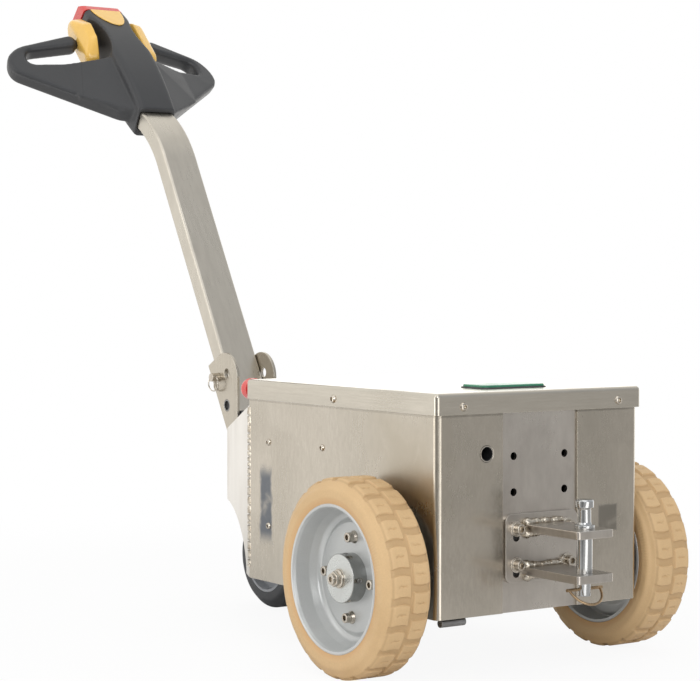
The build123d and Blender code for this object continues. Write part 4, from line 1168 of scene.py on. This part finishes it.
@dataclass
class ButtonScrew:
    """Low domed screw in a sheet; sizes in millimetres.

    Attributes:
        name: Name of the piece.
        point: Middle of the seat, in metres.
        way: Direction of the head.
        head: Diameter of the head.
        height: Height of the dome.
    """

    name: str
    point: Vector
    way: Row
    head: float
    height: float

    def build(self) -> None:
        """Make the screw."""
        r, h = self.head / 2, self.height
        rows = [
            (r, -0.4, 0), (r, 0.5, 0.3), (r * 0.8, h * 0.8, 1.2), (r * 0.5, h, 0.3), (r * 0.46, -0.2, 0),
            (0, -0.3, 0),
        ]
        shape = Shape(self.name).lathe(rounded(rows, 4), facing(self.point, self.way), 20)
        shape.finish(WARM_STEEL, Body.CHASSIS)


class Fasteners:
    """Screws of the shell, from a table of places."""

    LID_HEAD = 11.5
    PANEL_HEAD = 9.5
    HEADS = [
        ("lid_end_left", (2.6, -123.6, 339), (1, 0, 0)),
        ("lid_end_right", (2.6, 126.0, 339), (1, 0, 0)),
        ("lid_left", (-222, -164.5, 339), (0, -1, 0)),
        ("lid_right", (-222, 164.5, 339), (0, 1, 0)),
        ("panel_a", (-385.6, -161.75, 271.8), (0, -1, 0)),
        ("panel_b", (-252.6, -161.75, 273.2), (0, -1, 0)),
        ("panel_c", (-385.4, -161.75, 157.3), (0, -1, 0)),
        ("panel_d", (-385.6, 161.75, 271.8), (0, 1, 0)),
        ("panel_e", (-252.6, 161.75, 273.2), (0, 1, 0)),
        ("panel_f", (-385.4, 161.75, 157.3), (0, 1, 0)),
    ]

    def build(self) -> None:
        """Make every screw of the shell."""
        for name, place, way in self.HEADS:
            head = self.LID_HEAD if name.startswith("lid") else self.PANEL_HEAD
            ButtonScrew("v_screw_" + name, at(*place), way, head, head * 0.3).build()


@dataclass
class Hitch:
    """Bolts, tow pin, socket ring and weld beads of the hitch end; sizes in millimetres.

    Attributes:
        rows: Heights of the bolt rows.
        span: Distance between the two bolts of a row.
        face: X of the base plate's face.
        root: Half the width of a clevis plate at its root.
        slot_drop: Distance of a slot's lower end under its bolt.
        slot_depth: Depth of a slot.
        slot_radius: Radius of a slot's end.
        bolt_radius: Radius of a bolt's shank.
        bolt_head: Radius of a bolt's head.
        bolt_reach: Reach of a bolt's head over the base plate.
        washer: Radius of the plain washer.
        spring_washer: Radius of the spring washer.
        pin_shank: Radius of the tow pin.
        pin_tail: Radius of its tail and its neck.
        pin_collar: Radius of its collar.
        pin_head: Radius of its head.
        collar_place: Height of the collar over the pin's foot.
        bead_steps: Points along a weld bead.
        bead: Middle radius of a weld bead.
    """

    rows: tuple[float, ...] = (139.5, 184.5)
    span: float = 82.0
    face: float = 3.0
    root: float = 30.0
    slot_drop: float = 11.0
    slot_depth: float = 5.8
    slot_radius: float = 4.9
    bolt_radius: float = 5.0
    bolt_head: float = 6.5
    bolt_reach: float = 11.0
    washer: float = 10.0
    spring_washer: float = 8.4
    pin_shank: float = 10.0
    pin_tail: float = 8.0
    pin_collar: float = 12.5
    pin_head: float = 11.5
    collar_place: float = 82.0
    bead_steps: int = 46
    bead: float = 4.0
    # Plate of each weld bead, and whether the bead lies above it
    BEADS = [
        ("hitch_upper_plate", True),
        ("hitch_upper_plate", False),
        ("hitch_lower_plate", True),
        ("hitch_lower_plate", False),
    ]

    def bolts(self) -> None:
        """Four cap screws on two washers each, as one piece, with black discs in the lower ends of their
        slots as painted shade.
        """
        shape = Shape("v_hitch_bolts")
        slots = Shape("v_hitch_slot_ends")
        shank, head, reach = self.bolt_radius, self.bolt_head, self.bolt_reach
        plain, spring = self.washer, self.spring_washer
        bolt = [
            (shank, -10, 0), (shank, 0, 0), (plain, 0, 0.2), (plain, 1.4, 0.5), (spring, 1.4, 0.2),
            (spring - 0.2, 2.8, 0.6), (head, 2.8, 0), (head, reach, 0.9), (3.7, reach, 0.3), (3.4, 5, 0),
            (0, 4.6, 0),
        ]
        # Painted shade: a flat black disc deep in each slot's lower end stands for the shade inside the slot
        dark = [(0, 0.3), (self.slot_radius, 0.3), (self.slot_radius, 0.0)]
        for z in self.rows:
            for y in (-self.span / 2, self.span / 2):
                shape.lathe(rounded(bolt, 3), facing(at(self.face, y, z), (1, 0, 0)), 32)
                low = facing(at(self.face - self.slot_depth, y, z - self.slot_drop), (1, 0, 0))
                slots.lathe(dark, low, 24)
        shape.finish(WARM_STEEL, Body.CHASSIS, ["hitch_bolts"])
        slots.finish(BLACK, Body.CHASSIS)

    def socket_ring(self) -> None:
        """Thin bright ring round the charge socket."""
        low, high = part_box("charge_socket")
        middle = (low + high) / 2
        radius = (high.z - low.z) / 2 / MM
        place = facing(Vector((DATUM_X, middle.y, middle.z)), (1, 0, 0))
        rows = [
            (radius - 1.6, -1.0, 0), (radius - 1.4, 0.35, 0.15), (radius - 0.2, 0.35, 0.15),
            (radius, -1.0, 0),
        ]
        shape = Shape("v_socket_ring").lathe(rounded(rows, 3), place, 48)
        shape.finish(WARM_STEEL, Body.CHASSIS)

    def pin(self) -> None:
        """Turned tow pin: tail, shank, collar, neck and head, from below."""
        low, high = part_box("tow_pin")
        middle = (low + high) / 2
        top = (high.z - low.z) / MM
        tail, shank, collar, head = self.pin_tail, self.pin_shank, self.pin_collar, self.pin_head
        ledge = self.collar_place
        rows = [
            (0, 0, 0), (tail, 0, 1.2), (tail, 17, 0.4), (shank, 17.6, 0.6), (shank, ledge, 0),
            (collar, ledge, 0.4), (collar, ledge + 5, 0.8), (tail + 1.2, ledge + 5.6, 0.5),
            (tail + 0.2, ledge + 8, 1.0), (tail, top - 12, 1.0), (tail + 1.2, top - 10, 0.5),
            (head, top - 9.6, 0.8), (head, top - 1.8, 0.8), (head - 1.5, top, 0.5), (0, top, 0),
        ]
        place = Matrix.Translation((middle.x, middle.y, low.z))
        Shape("v_tow_pin").lathe(rounded(rows, 4), place, 64).finish(ZINC, Body.CHASSIS, ["tow_pin"])

    def welds(self) -> None:
        """Weld beads above and below the root of both clevis plates."""
        for i, (node, above) in enumerate(self.BEADS):
            low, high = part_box(node)
            z = (high.z if above else low.z) / MM
            lift = 2.0 if above else -2.0
            points = []
            for step in range(self.bead_steps):
                y = -self.root - 2 + (2 * self.root + 4) * step / (self.bead_steps - 1)
                sway = 1.6 * noise.noise(Vector((y * 0.11, i * 7.3, 0)))
                points.append(at(self.face + 2.2 + sway, y, z + lift + sway))
            shape = Shape(f"v_weld_{i}").tube(points, self.bead_radius(i), 10)
            shape.finish(WELD, Body.CHASSIS, (), "stainless", 80)

    def bead_radius(self, seed: int) -> Callable[[int], float]:
        """Rippled radius along a bead, with a blob at its left end."""

        def radius(step: int) -> float:
            blob = 2.2 * math.exp(-((step - 4) / 3.0) ** 2)
            ripple = 0.45 * math.sin(step * 1.9) + 1.2 * noise.noise(Vector((step * 0.23, seed * 3.1, 2)))
            ends = smoothstep(-1, 2, step) * smoothstep(-1, 2, self.bead_steps - 1 - step)
            return max(0.3, (self.bead + ripple + blob) * ends)

        return radius

    def build(self) -> None:
        """Make bolts, pin, ring and beads."""
        self.bolts()
        self.pin()
        self.socket_ring()
        self.welds()


@dataclass
class TillerHead:
    """Moulded head: core and hand loops run into one another, with paddles and half-moon button.

    Places in the head are along its axis, to the right and to the front, in millimetres from its foot.

    Attributes:
        origin: Foot of the head's axis.
        voxel: Cell of the remeshing.
        passes: Smoothing passes.
        seam_place: Where the parting line crosses a wing, along and outwards.
        seam_lean: Lean of the parting line.
        button_stretch: Stretch of the half-moon button down the face.
        paddle_voxel: Cell of a paddle's remeshing.
        paddle_passes: Smoothing passes of a paddle.
        tuck: How far the hand loops move into the core.
        face_run: Run of the sloping face along the head.
        face_rise: Rise of the sloping face to the front.
    """

    origin: Row = (-1001.95, 0.0, 756.33)
    voxel: float = 1.8
    passes: int = 16
    seam_place: tuple[float, float] = (97.0, 97.0)
    seam_lean: float = 0.27
    button_stretch: float = 0.75
    paddle_voxel: float = 1.4
    paddle_passes: int = 24
    tuck: float = 1.2
    face_run: float = 116.0
    face_rise: float = 20.5
    ALONG = Vector((-1, 0, 1)).normalized()
    FRONT = Vector((1, 0, 1)).normalized()
    ACROSS = Vector((0, 1, 0))
    # Corners of the webs between panel and wings. Columns: along, outwards, front
    WEB_LEFT = [
        (4, 20, 14.5), (138, 22, 26.0), (70, 112, -11.5), (150, 112, -11.5),
        (4, 20, -4.0), (138, 22, -4.0), (70, 106, -22.0), (150, 106, -22.0),
    ]
    WEB_RIGHT = [
        (6, 31, 13.5), (136, 35, 24.5), (70, 112, -11.5), (150, 112, -11.5),
        (6, 31, -4.0), (136, 35, -4.0), (70, 106, -22.0), (150, 106, -22.0),
    ]
    # Bulge of the left thumb paddle, in the same columns
    THUMB = [(222, 46, 24.0), (222, 60, 20.0), (188, 46, 23.0), (188, 60, 18.0)]

    def spot(self, along: float, right: float, front: float) -> Vector:
        """Point of the head, in metres."""
        return at(*self.origin) + (self.ALONG * along + self.ACROSS * right + self.FRONT * front) * MM

    def plastic(self) -> SeamFinish:
        """Grained dark plastic with a parting line on each wing."""
        along, out = self.seam_place
        seams = []
        for side in Side:
            way = (self.ALONG * self.seam_lean + self.ACROSS * side.value).normalized()
            seams.append((tuple(self.spot(along, side.value * out, 0)), tuple(way)))
        return SeamFinish(
            "head_plastic", (0.036, 0.037, 0.040), (0.047, 0.048, 0.051), 0.42, 0.0, 900.0, ALL_WAYS,
            0.06, 12.0, 0.5, (0.15, 0.15, 0.155), 0.3, seams=tuple(seams),
        )

    def soften(self, piece: bpy.types.Object, voxel: float, passes: int) -> None:
        """Melt a piece's parts together and round its edges."""
        melt = piece.modifiers.new("melt", "REMESH")
        melt.mode = "VOXEL"
        melt.voxel_size = voxel * MM
        melt.use_smooth_shade = True
        soft = piece.modifiers.new("soften", "SMOOTH")
        soft.factor = 0.5
        soft.iterations = passes

    def moulding(self) -> None:
        """Core and hand loops, joined by webs, as one soft moulding."""
        shape = Shape("v_tiller_head").add_node("head_core")
        shape.add_node("hand_loop_left", Vector((0, self.tuck * MM, 0)))
        shape.add_node("hand_loop_right", Vector((0, -self.tuck * MM, 0)))
        for side, web in ((Side.LEFT, self.WEB_LEFT), (Side.RIGHT, self.WEB_RIGHT)):
            shape.hull(self.spot(along, side.value * out, front) for along, out, front in web)
        nodes = ["head_core", "hand_loop_left", "hand_loop_right"]
        made = shape.finish(self.plastic(), Body.TILLER, nodes, smooth=180)
        self.soften(made, self.voxel, self.passes)

    def paddles(self) -> None:
        """Smooth saddle-shaped thumb paddles."""
        for side in Side:
            node = "thumb_paddle_" + side.name.lower()
            points = [vert.co.copy() for vert in frame["nodes"][node].data.vertices]
            if side is Side.LEFT:
                points += [self.spot(along, side.value * out, front) for along, out, front in self.THUMB]
            made = Shape("v_" + node).hull(points).finish(YELLOW, Body.TILLER, [node], smooth=180)
            self.soften(made, self.paddle_voxel, self.paddle_passes)

    def button(self) -> None:
        """Half-moon button, drawn down the face and deeper on its right."""
        shape = Shape("v_top_button").add_node("top_button").flatten()
        down = (self.ALONG * self.face_run - self.FRONT * self.face_rise).normalized()
        top = max(vert.co.dot(down) for vert in shape.bm.verts)
        reach = max(abs(vert.co.y) for vert in shape.bm.verts)
        for vert in shape.bm.verts:
            stretch = self.button_stretch * (1 + 0.5 * vert.co.y / reach)
            vert.co += down * (vert.co.dot(down) - top) * stretch
        shape.bevel(0.9, 3).finish(YELLOW, Body.TILLER, ["top_button"], smooth=60, even=True)

    def build(self) -> None:
        """Make moulding, paddles and button."""
        self.moulding()
        self.paddles()
        self.button()


@dataclass
class LockRings:
    """Two split rings that hang on the lock pin; sizes in millimetres.

    Attributes:
        ring: Diameter of a ring's middle line.
        wire: Diameter of the wire.
        plug: Radius of the dark plugs in the pivot's bore.
        plug_depth: Depth of a plug under the pivot's end.
        steps: Points along a ring.
    """

    ring: float = 22.5
    wire: float = 2.0
    plug: float = 7.1
    plug_depth: float = 3.0
    steps: int = 40
    # Distance of each ring from the pin's end, and its turn in radians
    HANG = [(5.0, 0.2), (9.5, -0.25)]

    def build(self) -> None:
        """Hang both rings on the left end of the pin and close the pivot's bore."""
        low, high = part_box("lock_pin")
        x = (low.x + high.x) / 2
        z = (low.z + high.z) / 2 - (self.ring / 2 - 1.5) * MM
        for i, (inset, turn) in enumerate(self.HANG):
            points = []
            for step in range(self.steps):
                a = 2 * math.pi * step / self.steps
                spoke = Vector((math.cos(a), 0.0, math.sin(a))) * self.ring / 2 * MM
                spoke.rotate(Matrix.Rotation(turn, 3, "Z"))
                points.append(Vector((x, low.y + inset * MM, z)) + spoke)
            shape = Shape(f"v_lock_ring_{i}").tube(points, lambda step: self.wire / 2, 8, True)
            shape.finish(WARM_STEEL, Body.CHASSIS)
        low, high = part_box("tiller_pivot")
        middle = (low + high) / 2
        for side, y in ((Side.LEFT, low.y), (Side.RIGHT, high.y)):
            inside = y - side.value * self.plug_depth * MM
            place = facing(Vector((middle.x, inside, middle.z)), (0, side.value, 0))
            rows = [(0, 0), (self.plug, 0), (self.plug, -2)]
            shape = Shape("v_pivot_plug_" + side.name.lower()).lathe(rows, place, 32)
            shape.finish(BLACK, Body.CHASSIS)


@dataclass
class NoseWeld:
    """Rough weld strip where the nose meets the side panels; sizes in millimetres.

    Attributes:
        place: X of the strip.
        half_width: Half the width of the body.
        foot: Height of the strip's lower end.
        length: Length of the strip.
        steps: Points along the strip.
        radius: Middle radius of the strip.
        flatness: Thickness as a share of the width.
    """

    place: float = -437.0
    half_width: float = 161.0
    foot: float = 95.0
    length: float = 222.0
    steps: int = 90
    radius: float = 5.5
    flatness: float = 0.24

    def build(self) -> None:
        """Make one flat strip on each side."""
        for side in Side:
            middle = side.value * self.half_width
            points = []
            for step in range(self.steps):
                z = self.foot + self.length * step / (self.steps - 1)
                sway = 1.0 * noise.noise(Vector((z * 0.08, side.value * 5.0, 0)))
                points.append(at(self.place + sway, middle, z))
            strip = Shape("v_nose_weld_" + side.name.lower())
            strip.tube(points, lambda step: self.radius + 1.6 * noise.noise(Vector((step * 0.45, 1, 4))), 14)
            for vert in strip.bm.verts:
                vert.co.y = (middle + self.flatness * (vert.co.y / MM - middle)) * MM
            strip.finish(WELD, Body.CHASSIS, (), "stainless", 80)


class Studio:
    """Camera, light and floor of the picture."""

    LENS = 103.46
    SENSOR = 36.0
    EYE = (1947.57, -1608.56, 492.47)
    TILT = 1.705
    HEADING = 55.875
    # Lower front corner of the body, where the floor's mirror image is measured from
    CORNER = (0, -160, 0)
    # Point that the lamps look at
    AIM = (-200, 0, 250)
    FLOOR_HALF = 30.0
    FLOOR_DROP = 0.0004
    # Columns: name, place in millimetres, diameter in metres, power in watts
    LAMPS = [
        ("key", (-900, -2600, 2300), 2.2, 9.0),
        ("fill", (2300, -1700, 1500), 2.0, 28.0),
        ("top", (300, -200, 3000), 2.0, 8.0),
    ]

    def camera(self) -> None:
        """Camera that sees the object as the photograph does."""
        data = bpy.data.cameras.new("camera")
        data.lens = self.LENS
        data.sensor_width = self.SENSOR
        made = bpy.data.objects.new("camera", data)
        made.location = at(*self.EYE)
        made.rotation_euler = (math.radians(90 - self.TILT), 0, math.radians(self.HEADING))
        bpy.context.scene.collection.objects.link(made)
        bpy.context.scene.camera = made

    def world(self) -> None:
        """White for the camera; soft light from a gradient; metal sees white panels with grey gaps."""
        world = bpy.data.worlds.new("studio")
        bpy.context.scene.world = world
        world.use_nodes = True
        world.node_tree.nodes.clear()
        g = Graph(world.node_tree)
        way = g.node("TexCoord").outputs["Generated"]
        side = g.vector("DOT_PRODUCT", way, LIGHT_WAY, out=1)
        tint = g.mix(g.remap(side, -0.8, 0.6), (0.95, 0.97, 1.0, 1), (1.0, 0.99, 0.96, 1))
        soft = g.node("Background", {"Color": tint, "Strength": g.remap(side, -0.9, 0.75, 0.70, 0.86)})
        panels = g.group("room", {"Way": way})
        height = g.node("SeparateXYZ", {0: way}).outputs[2]
        ceiling = g.remap(g.math("ABSOLUTE", g.math("SUBTRACT", height, 0.62)), 0.22, 0.05, 0.0, 0.05)
        panels = g.math("ADD", panels, ceiling)
        mirror = g.node("Background", {"Color": tint, "Strength": panels})
        plain = g.node("Background", {"Color": (1, 1, 1, 1), "Strength": 1.0})
        path = g.node("LightPath")
        glossy = path.outputs["Is Glossy Ray"]
        lit = g.node("MixShader", {0: glossy, 1: soft.outputs[0], 2: mirror.outputs[0]})
        seen = g.math("MAXIMUM", path.outputs["Is Camera Ray"], path.outputs["Is Transmission Ray"])
        mixed = g.node("MixShader", {0: seen, 1: lit.outputs[0], 2: plain.outputs[0]})
        g.tree.links.new(mixed.outputs[0], g.node("OutputWorld").inputs[0])

    def floor(self) -> None:
        """Pale floor that is white to the camera and keeps a faint shadow; in reflections it glows with the
        room's light panels, a painted reflection.
        """
        bm = bmesh.new()
        bmesh.ops.create_grid(bm, x_segments=1, y_segments=1, size=self.FLOOR_HALF)
        mesh = bpy.data.meshes.new("floor")
        bm.to_mesh(mesh)
        bm.free()
        made = bpy.data.objects.new("floor", mesh)
        made.location.z = -self.FLOOR_DROP
        bpy.context.scene.collection.objects.link(made)
        material = bpy.data.materials.new("floor")
        material.use_nodes = True
        material.node_tree.nodes.clear()
        g = Graph(material.node_tree)
        place = g.node("TexCoord").outputs["Object"]
        far = g.remap(g.vector("LENGTH", place, out=1), 0.5, 1.3, 0.92, 1.0)
        path = g.node("LightPath")
        seen = g.math("MULTIPLY", path.outputs["Is Camera Ray"], far)
        # Painted reflection: to glossy rays the floor glows with the room's light panels, so that metal
        # mirrors them from the floor
        level = g.group("room", {"Way": g.vector("SUBTRACT", place, at(*self.CORNER))})
        sheen = g.node("Emission", {"Color": (1, 0.98, 0.95, 1), "Strength": level})
        mirrored = g.remap(g.vector("LENGTH", place, out=1), 0.4, 1.3, 0.0, 1.0)
        mirrored = g.math("MULTIPLY", mirrored, path.outputs["Is Glossy Ray"])
        matt = g.node("BsdfDiffuse", {"Color": (0.86, 0.86, 0.86, 1)})
        white = g.node("Emission", {"Color": (1, 1, 1, 1), "Strength": 1.0})
        base = g.node("MixShader", {0: mirrored, 1: matt.outputs[0], 2: sheen.outputs[0]})
        mixed = g.node("MixShader", {0: seen, 1: base.outputs[0], 2: white.outputs[0]})
        g.tree.links.new(mixed.outputs[0], g.node("OutputMaterial").inputs[0])
        mesh.materials.append(material)

    def lamps(self) -> None:
        """Large soft key from the left rear, fill from the camera's side and a weak top light."""
        for name, place, size, power in self.LAMPS:
            data = bpy.data.lights.new(name, "AREA")
            data.shape = "DISK"
            data.size = size
            data.energy = power
            made = bpy.data.objects.new(name, data)
            made.location = at(*place)
            made.rotation_euler = (at(*self.AIM) - made.location).to_track_quat("-Z", "Y").to_euler()
            bpy.context.scene.collection.objects.link(made)

    def build(self) -> None:
        """Set the whole studio."""
        self.camera()
        self.world()
        self.floor()
        self.lamps()
        bpy.context.scene.view_settings.view_transform = "Standard"


def main() -> None:
    """Build the visual model."""
    SharedEffects().build()
    Housing().build()
    for side in Side:
        DriveWheel(side).build()
    Fasteners().build()
    Hitch().build()
    TillerHead().build()
    LockRings().build()
    NoseWeld().build()
    Studio().build()
    bpy.context.view_layer.update()


if __name__ == "__main__":
    main()
